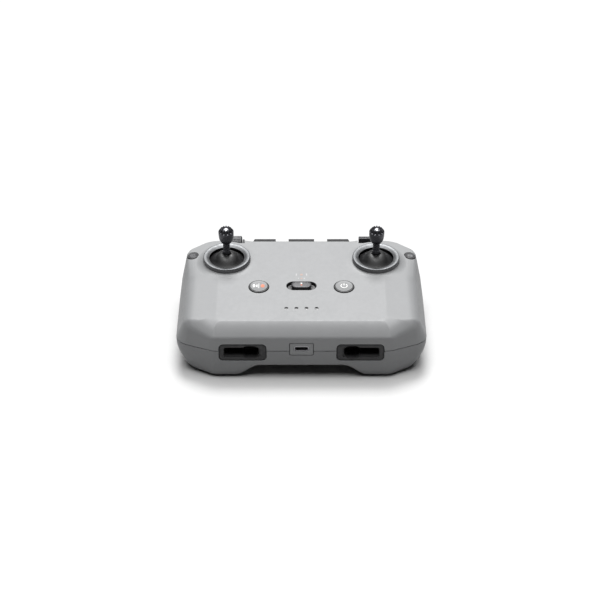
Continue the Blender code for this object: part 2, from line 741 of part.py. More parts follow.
def mode_switch():
    frame = face_frame(0.0, SLOT_Y)
    tray = prism(obround(SLOT_LENGTH + 3.0, SLOT_WIDTH + 3.0), -3.6, -2.4)
    add_part("mode_switch_tray", "dark_plastic", tray, frame)
    slider = add_part("mode_slider", "dark_plastic",
                      prism(obround(SLIDER_LENGTH, SLIDER_WIDTH), -2.1, SLIDER_RISE), frame)
    for u in (-2.0, 0.0, 2.0):
        groove = box((u - 0.4, u + 0.4), (-2.2, 2.2), (SLIDER_RISE - 0.3, SLIDER_RISE + 1.0))
        combine(slider, groove, matrix=frame)


def led_light_guide():
    """Clear bar under the top cover, with a peg up into each light's hole."""
    guide = add_part("led_light_guide", "clear",
                     box((-11.0, 11.0), (LED_Y - 1.6, LED_Y + 1.6), (32.4, 34.4)))
    for x in led_places():
        peg = rod(LED_PEG, 33.0, face_plane(LED_Y), steps=10, u=x, v=LED_Y)
        combine(guide, peg, "UNION")


def shutter_button():
    """Trigger at the rear right corner, pressed towards the user."""
    profile = ((38.6, 30.2), (46.0, 30.2), (46.0, 41.2), (44.6, 43.0), (41.4, 43.4),
               (41.4, 39.0), (38.6, 39.0))
    add_part("shutter_button", "dark_plastic",
             prism(profile, NOTCH_X[0] + 0.5, NOTCH_X[1] - 0.5, "X"))


def gimbal_dial():
    """Knurled wheel on its axle, held by a fork at the rear left corner."""
    low = -NOTCH_X[1]
    high = -NOTCH_X[0]
    outline = []
    for i in range(2 * DIAL_TEETH):
        radius = DIAL_RADIUS - (DIAL_TOOTH if i % 2 else 0.0)
        angle = pi * i / DIAL_TEETH
        outline.append((radius * cos(angle), radius * sin(angle)))
    frame = place(0.0, DIAL_Y, DIAL_Z)
    dial = add_part("gimbal_dial", "dark_plastic",
                    prism(outline, low + 1.9, high - 1.9, "X"), frame)
    combine(dial, rod(PIN_RADIUS, low - 2.0, high + 2.0, "X", 12), matrix=frame)
    add_part("dial_axle", "metal", rod(1.2, low + 0.4, high - 0.4, "X", 12), frame)
    fork = add_part("dial_fork", "dark_plastic",
                    box((low + GAP, high - GAP), (FORK_Y, DIAL_Y + 2.6), FORK_Z))
    combine(fork, box((low + 1.6, high - 1.6), (FORK_Y + 1.0, 60.0), (20.0, 50.0)))
    combine(fork, rod(PIN_RADIUS, low - 2.0, high + 2.0, "X", 12), matrix=frame)


# ---------------------------------------------------------------- front fittings
def storage_insert(name, side):
    """Rubber pocket in the front wall that keeps one unscrewed stick."""
    x = side * (INSERT_NEAR_X + INSERT_FAR_X) / 2.0
    z = (INSERT_LOW + INSERT_HIGH) / 2.0
    outline = rounded(INSERT_FAR_X - INSERT_NEAR_X, INSERT_HIGH - INSERT_LOW,
                      INSERT_CORNER, 3, x, z)
    insert = add_part(name, "rubber", prism(outline, INSERT_FACE, INSERT_BACK, "Y"))
    head_room = rounded(10.8, 10.0, 3.5, 3, side * POCKET_HEAD_X, z)
    tip_room = rounded(14.0, 6.4, 2.0, 3, side * POCKET_TIP_X, z)
    for room in (head_room, tip_room):
        combine(insert, prism(room, FRONT_CUT, POCKET_BACK, "Y"))


def usb_port():
    """Charging socket: a surround flush with the front wall, a metal tube and its tongue."""
    front = -51.7
    back = -49.2
    section = ((front, USB_LOW), (front, 20.2), (-50.9, USB_HIGH), (back, USB_HIGH),
               (back, USB_LOW))
    surround = add_part("usb_surround", "shell", prism(section, -USB_HALF, USB_HALF, "X"))
    opening = rounded(9.6, 3.8, 1.6, 4, 0.0, USB_Z)
    combine(surround, prism(opening, FRONT_CUT, -45.0, "Y"))
    tube = rounded(9.0, 3.2, 1.4, 4, 0.0, USB_Z)
    socket = add_part("usb_socket", "metal", prism(tube, front + GAP, -43.4, "Y"))
    inside = rounded(8.4, 2.6, 1.2, 4, 0.0, USB_Z)
    combine(socket, prism(inside, FRONT_CUT, -44.2, "Y"))
    tongue = box((-3.2, 3.2), (-50.6, -44.0), (USB_Z - GAP, USB_Z + GAP))
    combine(socket, tongue, "UNION")


# ---------------------------------------------------------------- inside the body
def main_board():
    outline = ((-36.0, -31.0), (36.0, -31.0), (36.0, -5.0), (25.5, -5.0), (25.5, 33.0),
               (-25.5, 33.0), (-25.5, -5.0), (-36.0, -5.0))
    board = add_part("main_board", "board", prism(outline, BOARD_Z, BOARD_Z + BOARD_THICKNESS))
    for x, y in SCREW_PLACES:
        combine(board, rod(SCREW_HOLE, BOARD_Z - 5.0, BOARD_Z + 5.0, steps=8, u=x, v=y))


def battery_cell(name, side):
    """Cylindrical cell in a grip, with its raised contact at the rear."""
    radius = CELL_RADIUS
    front, rear = CELL_Y
    profile = ((0.0, front), (radius - 0.6, front), (radius, front + 0.6),
               (radius, rear - 0.6), (radius - 0.6, rear), (3.0, rear), (3.0, rear + 1.0),
               (0.0, rear + 1.0))
    add_part(name, "cell", lathe(profile, 24, "Y"), place(side * CELL_X, 0.0, CELL_Z))


def case_screw(name, x, y):
    """Screw from below, through the board, into a boss of the top cover."""
    top = BOARD_Z + 4.2
    face = ARCH_Z + 0.1
    seat = ARCH_Z + 0.9
    profile = ((0.0, face + 0.7), (1.0, face), (SCREW_HEAD, face), (SCREW_HEAD, seat),
               (SCREW_RADIUS, seat), (SCREW_RADIUS, top), (0.0, top))
    add_part(name, "metal", lathe(profile, 12), place(x, y, 0.0))


def holder_guide(name, side):
    """Square tube in the bottom cover that one rail slides in."""
    middle = side * (RAIL_X[0] + RAIL_X[1]) / 2.0
    height = (RAIL_Z[0] + RAIL_Z[1]) / 2.0
    width = RAIL_X[1] - RAIL_X[0]
    depth = RAIL_Z[1] - RAIL_Z[0]
    loops = []
    for grow, y in ((1.5, -5.0), (1.5, 35.0), (GAP, 35.0), (GAP, -5.0)):
        u = width / 2.0 + grow
        v = depth / 2.0 + grow
        loops.append([(middle + a * u, y, height + b * v)
                      for a, b in ((-1, -1), (1, -1), (1, 1), (-1, 1))])
    add_part(name, "dark_plastic", skin(loops, cyclic=True))


# ---------------------------------------------------------------- phone holder
def holder_rail(name, side):
    edges = sorted((side * RAIL_X[0], side * RAIL_X[1]))
    add_part(name, "metal", box(edges, RAIL_Y, RAIL_Z))


def holder_jaw():
    profile = ((JAW_Y, JAW_LOW + 1.0), (JAW_Y + 1.0, JAW_LOW), (JAW_BACK, JAW_LOW),
               (JAW_BACK, 35.2), (JAW_Y + 1.0, 39.4), (JAW_Y, 38.6))
    jaw = add_part("holder_jaw", "shell", prism(profile, -JAW_HALF, JAW_HALF, "X"))
    wide = JAW_HALF + CUT
    combine(jaw, box((-wide, wide), (JAW_Y - CUT, CHANNEL_BACK), CHANNEL_Z))
    combine(jaw, box((-32.3, 32.3), (47.9, JAW_BACK + CUT), (12.0, 27.0)))
    low, high = PAD_Y
    combine(jaw, box((-32.2, 32.2), (low - GAP, high + GAP), (37.0, 50.0)))
    for side in (-1, 1):
        edges = sorted((side * (RAIL_X[0] - GAP), side * (RAIL_X[1] + GAP)))
        heights = (RAIL_Z[0] - GAP, RAIL_Z[1] + GAP)
        combine(jaw, box(edges, (JAW_Y - CUT, RAIL_Y[1] + GAP), heights))


def jaw_fittings():
    """Toothed pad on the jaw's lip, antenna board and its cover, and the body's rear pad."""
    pad = add_part("jaw_grip_pad", "rubber", box((-31.9, 31.9), PAD_Y, (37.3, 38.0)))
    for low, high in TOOTH_SPANS:
        left = TOOTH_SLANT if low < -10.0 else 0.0
        right = TOOTH_SLANT if high > 10.0 else 0.0
        tooth = ((low, 37.6), (high, 37.6), (high - right, TOOTH_TOP), (low + left, TOOTH_TOP))
        combine(pad, prism(tooth, *PAD_Y, "Y"), "UNION")
    add_part("antenna_board", "board", box((-31.0, 31.0), (48.3, 49.3), (13.0, 26.0)))
    cover = prism(rounded(68.0, 23.6, 3.0, 3, 0.0, 21.8), JAW_BACK + GAP, 52.1, "Y")
    add_part("jaw_cover", "shell", cover)
    add_part("rear_grip_pad", "rubber",
             prism(rounded(62.0, 11.0, 2.0, 3, 0.0, 33.0), 41.5, 42.3, "Y"))


def build():
    clear_scene()
    top_cover()
    bottom_cover()
    for label, side in (("left", -1), ("right", 1)):
        stick_unit(label, side)
        storage_insert(f"{label}_stick_storage", side)
        battery_cell(f"{label}_battery_cell", side)
        holder_guide(f"{label}_holder_guide", side)
        holder_rail(f"{label}_holder_rail", side)
    main_button("home_button", -1)
    main_button("power_button", 1)
    side_button("function_button", -1)
    side_button("photo_button", 1)
    mode_switch()
    led_light_guide()
    shutter_button()
    gimbal_dial()
    usb_port()
    main_board()
    for number, (x, y) in enumerate(SCREW_PLACES, start=1):
        case_screw(f"case_screw_{number}", x, y)
    holder_jaw()
    jaw_fittings()


build()
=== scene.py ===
"""Looks of the compact two-stick radio transmitter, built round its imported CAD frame.

Lengths are in millimetres, and become metres where a mesh, light or camera is placed.
"""

from math import atan, cos, pi, radians, sin, sqrt, tan

import bmesh
import bpy
from mathutils import Matrix, Vector


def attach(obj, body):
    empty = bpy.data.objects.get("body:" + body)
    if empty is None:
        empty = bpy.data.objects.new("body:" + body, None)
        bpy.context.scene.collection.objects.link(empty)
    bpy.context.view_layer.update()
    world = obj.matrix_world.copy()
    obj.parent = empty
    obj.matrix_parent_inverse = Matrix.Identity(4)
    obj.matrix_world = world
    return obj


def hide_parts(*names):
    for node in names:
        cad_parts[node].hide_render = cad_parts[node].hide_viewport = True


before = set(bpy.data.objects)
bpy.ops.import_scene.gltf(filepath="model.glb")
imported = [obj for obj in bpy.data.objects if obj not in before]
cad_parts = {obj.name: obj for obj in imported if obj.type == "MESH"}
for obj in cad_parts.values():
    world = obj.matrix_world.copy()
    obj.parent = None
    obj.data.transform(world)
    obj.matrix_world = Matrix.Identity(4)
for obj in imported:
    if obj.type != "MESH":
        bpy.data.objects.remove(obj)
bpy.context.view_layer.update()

MM = 0.001

# ---- sizes shared with the CAD, mm
GAP = 0.3
WALL = 2.0
FRONT_Y = -52.1
SEAM_Z = 20.0
FACE_Z = 36.6
FACE_Y = -40.0
FACE_SLOPE = 0.065
FACE_TILT = atan(FACE_SLOPE)
FLAT_HALF = 51.6
FACET_SLOPE = 0.12
ROLL_START = -42.5
ROLL_END = -51.0
ROLL_DROP = 7.1
ROLL_POWER = 1.35
ROLL_WIDTH = 3.0
CHAMFER_X = 54.0
CHAMFER_SLOPE = 0.42
ROLL_SLANT = 0.25
SIDE_ROLL_START = 66.0
SIDE_ROLL_RATE = 0.05
SIDE_ROLL_Y = (0.0, 30.0)
ARCH_Z = 8.8
ARCH_HALF = 26.0
GRIP_INNER = 40.4
GRIP_FILLET = 5.6
ARCH_FILLET = 2.0
SIDE_START = 64.0
SIDE_REACH = 12.0
SIDE_BULGE = 19.0
GIMBAL_X = 47.5
GIMBAL_Y = 19.6
PIVOT_DEPTH = 12.4
DOME_RADIUS = 16.4
DOME_RISE = 1.5
DOME_RISE_ANGLES = (radians(12.0), radians(36.0))
DOME_BORE = 1.75
DOME_WALL = 1.0
DOME_ANGLE = radians(60.0)
GIMBAL_HOLE = 14.2
RING_SEAT = 1.3
RING_RADIUS = 14.9
RING_HOLE = 11.2
RING_TOP = 3.2
POST_RADIUS = 1.6
STEM_RADIUS = 2.2
STEM_Z = 18.6
BORE_END = 24.2
HEAD_Z = 26.3
HEAD_TOP = 37.0
MAIN_BUTTON_X = 26.6
MAIN_BUTTON_Y = -8.8
MAIN_BUTTON_RADIUS = 6.0
BUTTON_RISE = 0.95
BUTTON_GAP = 0.45
SKIRT_WIDTH = 0.45
SIDE_BUTTON_X = 69.7
SIDE_BUTTON_Y = 27.4
SIDE_BUTTON_RADIUS = 3.4
SIDE_BUTTON_TILT = radians(7.0)
SIDE_BUTTON_RISE = 0.3
SIDE_BUTTON_GAP = 0.35
SIDE_SKIRT_WIDTH = 0.75
LINER_DEPTH = 2.2
SLOT_Y = -7.6
SLOT_LENGTH = 18.9
SLOT_WIDTH = 9.0
SLIDER_LENGTH = 12.6
SLIDER_WIDTH = 6.5
SLIDER_RISE = 1.4
LED_SPACING = 6.2
LED_Y = -30.6
LED_HOLE = 1.05
INSERT_NEAR_X = 21.5
INSERT_FAR_X = 50.4
INSERT_LOW = 13.0
INSERT_HIGH = 24.5
FRONT_LEAN = 0.13
USB_Z = 21.4
USB_PLATE_Z = 21.15
BEYOND_FRONT = -56.0           # cutters for the front wall start here
NOTCH_X = (36.6, 50.6)
NOTCH_Y = 38.3
NOTCH_Z = 29.0
DIAL_Y = 44.1
DIAL_Z = 36.4
DIAL_RADIUS = 6.2
RAIL_X = (11.0, 18.0)
RAIL_Z = (13.0, 16.0)
REAR_RECESS = 1.0
REAR_RECESS_HALF = 33.2
REAR_LINE_Y = 42.2
SCREW_PLACES = ((-22.5, -34.0), (22.5, -34.0), (-22.5, 27.0), (22.5, 27.0))

# Finer outline than the CAD's: the same corners with more arc steps, (x, y, radius, steps).
OUTLINE = ((54.0, -52.1, 13.5, 14), (77.2, -42.3, 11.0, 16), (77.4, 5.0, 120.0, 8),
           (77.2, 36.0, 8.0, 14), (59.0, 42.2, 20.0, 10))
TOP_CORE = ((49.0, -42.5, 2.0, 14), (51.6, -38.5, 2.0, 16), (51.6, 5.0, 30.0, 8),
            (51.6, 34.0, 2.0, 14), (47.0, 38.0, 2.0, 10))
BOTTOM_CORE = ((53.0, -46.5, 3.0, 14), (60.6, -41.5, 4.0, 16), (58.6, 5.0, 30.0, 8),
               (58.6, 30.0, 3.0, 14), (52.0, 35.0, 3.0, 10))
TOP_CORE_REAR = 38.0
BOTTOM_CORE_ENDS = (-46.5, 35.0)
LINE_STEP = 2.0
LINE_HALF = 42.0

# Sizes that only the looks have.
EDGE = 0.22                  # rounding of the covers' seam edges
SURFACE_SHARES = (0.02, 0.045, 0.08, 0.13, 0.2, 0.28, 0.37, 0.47, 0.58, 0.7, 0.83, 0.93, 1.0)
JAW_HALF = 35.5
JAW_Y = 42.6
JAW_BACK = 50.6
JAW_LOW = 9.6
TOOTH_TOP = 40.1
TOOTH_SLANT = 1.4
TOOTH_SPANS = ((-31.7, -16.7), (-8.3, 8.3), (16.7, 31.7))
FLOOR_HALF = 4000.0
CAMERA_ELEVATION = radians(33.5)
CAMERA_DISTANCE = 1072.0
CAMERA_TARGET = (-0.9, -4.6, 26.0)
LENS_MM = 102.0


# ---- materials
def link(tree, source, target):
    tree.links.new(source, target)


def set_inputs(node, values):
    for name, value in values.items():
        node.inputs[name].default_value = value


def noise_node(tree, coords, scale, detail, roughness):
    node = tree.nodes.new("ShaderNodeTexNoise")
    set_inputs(node, {"Scale": scale, "Detail": detail, "Roughness": roughness})
    link(tree, coords, node.inputs["Vector"])
    return node.outputs["Fac"]


def ramp_value(tree, source, low, high, start=0.35, end=0.65):
    node = tree.nodes.new("ShaderNodeMapRange")
    set_inputs(node, {"From Min": start, "From Max": end, "To Min": low, "To Max": high})
    link(tree, source, node.inputs["Value"])
    return node.outputs["Result"]


def finish_material(name, colour, roughness, grain_mm=0.35, bump=0.04, metallic=0.0,
                    blotch=0.05, coat=0.0, rough_spread=0.07, scuffs=0.0, brushed=None):
    """Moulded, painted or drawn surface: fine grain, faint blotches and uneven gloss."""
    material = bpy.data.materials.new(name)
    material.use_nodes = True
    tree = material.node_tree
    shader = tree.nodes["Principled BSDF"]
    coords = tree.nodes.new("ShaderNodeTexCoord").outputs["Object"]
    if brushed:
        mapping = tree.nodes.new("ShaderNodeMapping")
        mapping.inputs["Scale"].default_value = brushed
        link(tree, coords, mapping.inputs["Vector"])
        fine_coords = mapping.outputs["Vector"]
    else:
        fine_coords = coords
    grain = noise_node(tree, fine_coords, 1.0 / (grain_mm * MM), 3.0, 0.6)
    broad = noise_node(tree, coords, 1.0 / (18.0 * MM), 4.0, 0.55)
    middle = noise_node(tree, coords, 1.0 / (2.5 * MM), 3.0, 0.5)

    tint = tree.nodes.new("ShaderNodeMix")
    tint.data_type = "RGBA"
    set_inputs(tint, {"A": (*[c * (1.0 - blotch) for c in colour], 1.0),
                      "B": (*[min(1.0, c * (1.0 + blotch)) for c in colour], 1.0)})
    link(tree, ramp_value(tree, broad, 0.0, 1.0), tint.inputs["Factor"])
    speck = tree.nodes.new("ShaderNodeMix")
    speck.data_type = "RGBA"
    speck.blend_type = "MULTIPLY"
    speck.inputs["Factor"].default_value = 1.0
    link(tree, tint.outputs["Result"], speck.inputs["A"])
    shade = tree.nodes.new("ShaderNodeCombineColor")
    level = ramp_value(tree, grain, 1.0 - blotch, 1.0)
    for channel in ("Red", "Green", "Blue"):
        link(tree, level, shade.inputs[channel])
    link(tree, shade.outputs["Color"], speck.inputs["B"])
    link(tree, speck.outputs["Result"], shader.inputs["Base Color"])

    gloss = ramp_value(tree, middle, roughness - rough_spread, roughness + rough_spread)
    if scuffs > 0.0:
        mapping = tree.nodes.new("ShaderNodeMapping")
        set_inputs(mapping, {"Scale": (1.0, 0.12, 1.0), "Rotation": (0.0, 0.0, 0.6)})
        link(tree, coords, mapping.inputs["Vector"])
        rub = noise_node(tree, mapping.outputs["Vector"], 1.0 / (1.2 * MM), 6.0, 0.7)
        worn = ramp_value(tree, rub, 0.0, scuffs, 0.58, 0.72)
        minus = tree.nodes.new("ShaderNodeMath")
        minus.operation = "SUBTRACT"
        link(tree, gloss, minus.inputs[0])
        link(tree, worn, minus.inputs[1])
        gloss = minus.outputs["Value"]
    link(tree, gloss, shader.inputs["Roughness"])
    set_inputs(shader, {"Metallic": metallic, "Coat Weight": coat, "Coat Roughness": 0.2})
    bumps = tree.nodes.new("ShaderNodeBump")
    set_inputs(bumps, {"Strength": 1.0, "Distance": bump * MM})
    link(tree, grain, bumps.inputs["Height"])
    link(tree, bumps.outputs["Normal"], shader.inputs["Normal"])
    return material


SHELL = finish_material("shell_grey", (0.160, 0.163, 0.166), 0.52, 0.30, 0.018, blotch=0.02,
                        rough_spread=0.03, scuffs=0.03)
# Lower cover: the same shell grey made about 9% darker, painted shade for the shade the lower
# cover sits in.
UNDER_PAINTED_SHADE = finish_material("shell_grey_lower_painted_shade", (0.145, 0.148, 0.151), 0.52, 0.30, 0.018,
                        blotch=0.02, rough_spread=0.03, scuffs=0.03)
BUTTON = finish_material("button_grey", (0.110, 0.112, 0.114), 0.45, 0.22, 0.006, blotch=0.02)
# Black moulded plastic. The same material is painted shade in the hole liners and button skirts.
BLACK_AND_PAINTED_SHADE = finish_material("moulded_black_and_painted_shade", (0.012, 0.012, 0.013), 0.55, 0.30, 0.02, blotch=0.15)
GRAPHITE = finish_material("graphite_satin", (0.026, 0.026, 0.029), 0.44, 0.18, 0.012,
                           blotch=0.10, scuffs=0.12)
STICK = finish_material("stick_anodised", (0.055, 0.055, 0.062), 0.30, 0.16, 0.012,
                        metallic=0.75, blotch=0.12, scuffs=0.10)
# Bright tip in the stick's crown: painted highlight that stands in for the glint on top of the
# stick.
CROWN_PAINTED_HIGHLIGHT = finish_material("stick_crown_painted_highlight", (0.62, 0.63, 0.65), 0.26, 0.15, 0.010,
                        metallic=0.9, blotch=0.10)
DOME = finish_material("dome_black", (0.006, 0.006, 0.0065), 0.46, 0.20, 0.004, blotch=0.15)
RUBBER = finish_material("rubber_black", (0.022, 0.022, 0.023), 0.72, 0.40, 0.045,
                         blotch=0.12)
RING = finish_material("ring_satin_silver", (0.13, 0.133, 0.137), 0.52, 0.12, 0.003,
                       metallic=0.85, blotch=0.04)
# Dark band on the trim ring's outer wall: painted shade that stands in for the wall's shadow.
RING_WALL_PAINTED_SHADE = finish_material("ring_wall_painted_shade", (0.10, 0.10, 0.105), 0.45, 0.20, 0.012,
                            blotch=0.08)
STEEL = finish_material("brushed_steel", (0.42, 0.42, 0.44), 0.40, 0.10, 0.003, metallic=1.0,
                        blotch=0.08, brushed=(1.0, 0.06, 1.0))
BOARD = finish_material("solder_mask_green", (0.012, 0.10, 0.05), 0.38, 0.5, 0.02,
                        blotch=0.18, coat=0.2)
CELL = finish_material("cell_wrap_blue", (0.03, 0.12, 0.33), 0.30, 0.6, 0.02, blotch=0.10,
                       coat=0.3)
SMOKED = finish_material("smoked_light_guide", (0.02, 0.02, 0.021), 0.16, 0.3, 0.004,
                         blotch=0.10)
INK_WHITE = finish_material("ink_white", (0.55, 0.55, 0.54), 0.55, 0.12, 0.006, blotch=0.04)
INK_ORANGE = finish_material("ink_orange", (0.46, 0.11, 0.05), 0.55, 0.12, 0.006, blotch=0.06)
INK_FAINT = finish_material("ink_pale_grey", (0.25, 0.25, 0.25), 0.55, 0.12, 0.006,
                            blotch=0.04)
INK_ORANGE_FAINT = finish_material("ink_pale_orange", (0.24, 0.17, 0.145), 0.55, 0.12, 0.006,
                                   blotch=0.06)
INK_DARK = finish_material("ink_dark", (0.07, 0.07, 0.075), 0.55, 0.12, 0.006, blotch=0.08)


# ---- mesh helpers
def place(x, y, z, rotation=None):
    turn = rotation if rotation is not None else Matrix.Identity(4)
    return Matrix.Translation(Vector((x, y, z)) * MM) @ turn


def raw_object(name, bm, matrix=None):
    bmesh.ops.scale(bm, vec=(MM, MM, MM), verts=bm.verts)
    bmesh.ops.recalc_face_normals(bm, faces=bm.faces)
    mesh = bpy.data.meshes.new(name)
    bm.to_mesh(mesh)
    bm.free()
    obj = bpy.data.objects.new(name, mesh)
    bpy.context.scene.collection.objects.link(obj)
    if matrix is not None:
        obj.matrix_world = matrix
    return obj


def apply_modifiers(obj):
    bpy.context.view_layer.update()
    graph = bpy.context.evaluated_depsgraph_get()
    mesh = bpy.data.meshes.new_from_object(obj.evaluated_get(graph))
    obj.modifiers.clear()
    obj.data = mesh


def settle(obj, sharp, flat_faces):
    """Apply the object's modifiers, then shade it smooth between its real edges."""
    if obj.modifiers:
        apply_modifiers(obj)
    obj.data.shade_smooth()
    obj.data.set_sharp_from_angle(angle=radians(sharp))
    if flat_faces:
        modifier = obj.modifiers.new("flat_faces", "WEIGHTED_NORMAL")
        modifier.keep_sharp = True
        modifier.mode = "FACE_AREA"
        apply_modifiers(obj)


def merged(tools):
    """One mesh out of several bmesh tools, each given with its frame or on its own."""
    whole = bmesh.new()
    for tool in tools:
        bm, matrix = tool if isinstance(tool, tuple) else (tool, None)
        bmesh.ops.recalc_face_normals(bm, faces=bm.faces)
        if matrix is not None:
            scaled = Matrix.Scale(1.0 / MM, 4) @ matrix @ Matrix.Scale(MM, 4)
            bmesh.ops.transform(bm, matrix=scaled, verts=bm.verts)
        copies = {vert: whole.verts.new(vert.co) for vert in bm.verts}
        for face in bm.faces:
            whole.faces.new([copies[vert] for vert in face.verts])
        bm.free()
    return whole


def cut(obj, tools, matrix=None, operation="DIFFERENCE"):
    """One Boolean with several tools that stay clear of each other."""
    helper = raw_object(obj.name + "_tool", merged(tools), matrix)
    modifier = obj.modifiers.new("cut", "BOOLEAN")
    modifier.operation = operation
    modifier.object = helper
    apply_modifiers(obj)
    bpy.data.objects.remove(helper, do_unlink=True)


def bevel(obj, width, segments=3, angle=30.0):
    modifier = obj.modifiers.new("bevel", "BEVEL")
    modifier.width = width * MM
    modifier.segments = segments
    modifier.limit_method = "ANGLE"
    modifier.angle_limit = radians(angle)
    modifier.harden_normals = False


def piece(obj, material, body, nodes=(), sharp=32.0, flat_faces=True):
    """Finish a piece: settle its mesh, give it its material and tie it to the frame."""
    settle(obj, sharp, flat_faces)
    obj.data.materials.clear()
    obj.data.materials.append(material)
    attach(obj, body)
    if nodes:
        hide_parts(*nodes)
    return obj


def bridge(bm, rows):
    """Faces between neighbouring rows of vertices."""
    for low, high in zip(rows, rows[1:]):
        for i in range(len(low)):
            j = (i + 1) % len(low)
            bm.faces.new((low[i], low[j], high[j], high[i]))


def new_rows(bm, loops):
    return [[bm.verts.new(point) for point in loop] for loop in loops]


def skin(loops, cyclic=False):
    """Closed body through the loops: capped at both ends, or joined end to end."""
    bm = bmesh.new()
    rows = new_rows(bm, loops)
    bridge(bm, rows + rows[:1] if cyclic else rows)
    if not cyclic:
        bm.faces.new(list(reversed(rows[0])))
        bm.faces.new(rows[-1])
    return bm


def oriented(u, v, w, axis):
    if axis == "X":
        return (w, u, v)
    if axis == "Y":
        return (u, w, v)
    return (u, v, w)


def prism(outline, low, high, axis="Z"):
    return skin([[oriented(u, v, w, axis) for u, v in outline] for w in (low, high)])


def box(x, y, z):
    return prism(((x[0], y[0]), (x[1], y[0]), (x[1], y[1]), (x[0], y[1])), z[0], z[1])


def circle(radius, steps, u=0.0, v=0.0):
    turn = 2.0 * pi / steps
    return [(u + radius * cos(turn * i), v + radius * sin(turn * i)) for i in range(steps)]


def rod(radius, low, high, axis="Z", steps=32):
    return prism(circle(radius, steps), low, high, axis)


def lathe(profile, steps):
    """Closed body turned round Z from a profile of (radius, height)."""
    loops = [[(a, b, height) for a, b in circle(radius, steps)] for radius, height in profile]
    bm = skin(loops, cyclic=True)
    bmesh.ops.remove_doubles(bm, verts=bm.verts, dist=1e-5)
    return bm


def arc_points(centre, radius, start, end, steps):
    """Points of an arc in degrees, for turned profiles."""
    points = []
    for i in range(steps + 1):
        angle = radians(start + (end - start) * i / steps)
        points.append((centre[0] + radius * cos(angle), centre[1] + radius * sin(angle)))
    return points


def obround(length, width, steps=16):
    radius = width / 2.0
    reach = length / 2.0 - radius
    right = [(reach + radius * sin(pi * i / steps), -radius * cos(pi * i / steps))
             for i in range(steps + 1)]
    return right + [(-a, -b) for a, b in right]


def rounded(width, height, radius, steps=8, u=0.0, v=0.0):
    points = []
    for quarter, (su, sv) in enumerate(((1, -1), (1, 1), (-1, 1), (-1, -1))):
        cu = u + su * (width / 2.0 - radius)
        cv = v + sv * (height / 2.0 - radius)
        for i in range(steps + 1):
            angle = pi / 2.0 * (quarter - 1 + i / steps)
            points.append((cu + radius * cos(angle), cv + radius * sin(angle)))
    return points


# ---- plan outline and top face
def smooth_step(value):
    value = min(1.0, max(0.0, value))
    return value * value * (3.0 - 2.0 * value)


def corner_points(before, corner, after):
    x, y, radius, steps = corner
    here = Vector((x, y))
    back = (Vector(before[:2]) - here).normalized()
    ahead = (Vector(after[:2]) - here).normalized()
    half = back.angle(ahead) / 2.0
    if pi / 2.0 - half < 0.001:
        span = radius * 0.05
        return [here + back * span * (1.0 - 2.0 * i / steps) if i < steps / 2.0
                else here + ahead * span * (2.0 * i / steps - 1.0) for i in range(steps + 1)]
    reach = radius / tan(half)
    centre = here + (back + ahead).normalized() * (radius / sin(half))
    first = here + back * reach - centre
    sweep = pi - 2.0 * half
    return [centre + Matrix.Rotation(sweep * i / steps, 2) @ first for i in range(steps + 1)]


def line_places():
    count = int(LINE_HALF / LINE_STEP)
    return [LINE_STEP * i for i in range(-count, count + 1)]


def plan_loop(corners, front_y, rear_y):
    chain = [(0.0, front_y, 0.0, 0), *corners, (0.0, rear_y(0.0), 0.0, 0)]
    right = []
    for i in range(1, len(chain) - 1):
        right += corner_points(chain[i - 1], chain[i], chain[i + 1])
    places = line_places()
    front = [Vector((x, front_y)) for x in places]
    rear = [Vector((x, rear_y(x))) for x in reversed(places)]
    left = [Vector((-point.x, point.y)) for point in reversed(right)]
    return front + right + rear + left


def outline_rear(x):
    recess = 1.0 - smooth_step((abs(x) - REAR_RECESS_HALF + 0.5) / 3.5)
    return REAR_LINE_Y - REAR_RECESS * recess


def inset_loop(loop, distances):
    count = len(loop)
    moved = []
    for i, point in enumerate(loop):
        along = (loop[(i + 1) % count] - loop[i - 1]).normalized()
        moved.append(point + Vector((-along.y, along.x)) * distances[i])
    return moved


def face_plane(y):
    return FACE_Z + FACE_SLOPE * (y - FACE_Y)


def face_height(x, y):
    facet = FACET_SLOPE * max(0.0, abs(x) - FLAT_HALF)
    start = ROLL_START + ROLL_SLANT * max(0.0, abs(x) - FLAT_HALF)
    end = ROLL_END + CHAMFER_SLOPE * max(0.0, abs(x) - CHAMFER_X)
    share = max(0.0, start - y) / max(ROLL_WIDTH, start - end)
    front = ROLL_DROP * share ** ROLL_POWER
    fade = 1.0 - smooth_step((y - SIDE_ROLL_Y[0]) / (SIDE_ROLL_Y[1] - SIDE_ROLL_Y[0]))
    side = fade * SIDE_ROLL_RATE * max(0.0, abs(x) - SIDE_ROLL_START) ** 2
    return face_plane(y) - facet - front - side


def side_share(point):
    return min(1.0, max(0.0, (abs(point.x) - SIDE_START) / SIDE_REACH))


def crease_inset(point):
    rear = min(1.0, max(0.0, point.y / 20.0))
    side = 5.2 - 1.4 * rear
    end = 1.1 if point.y < 0.0 else 0.5
    return end + (side - end) * side_share(point)


def underside(x):
    return ARCH_Z * (1.0 - smooth_step((abs(x) - ARCH_HALF) / (GRIP_INNER - ARCH_HALF)))


def mirrored(side, near, far):
    return sorted((side * near, side * far))


def lerp_loop(first, second, share):
    return [a + (b - a) * share for a, b in zip(first, second)]


def face_frame(x, y):
    return place(x, y, face_plane(y), Matrix.Rotation(FACE_TILT, 4, "X"))


def gimbal_frame(side):
    return face_frame(side * GIMBAL_X, GIMBAL_Y) @ place(0.0, 0.0, -PIVOT_DEPTH)


def side_button_frame(side):
    height = face_height(SIDE_BUTTON_X, SIDE_BUTTON_Y)
    turn = Matrix.Rotation(side * SIDE_BUTTON_TILT, 4, "Y")
    return place(side * SIDE_BUTTON_X, SIDE_BUTTON_Y, height, turn)


# ---- covers
def crease_softness(point):
    """Half the reach of the rounded edge between side wall and top face."""
    rear = min(1.0, max(0.0, point.y / 20.0))
    return 0.8 + (1.4 - 0.8 * rear) * side_share(point)


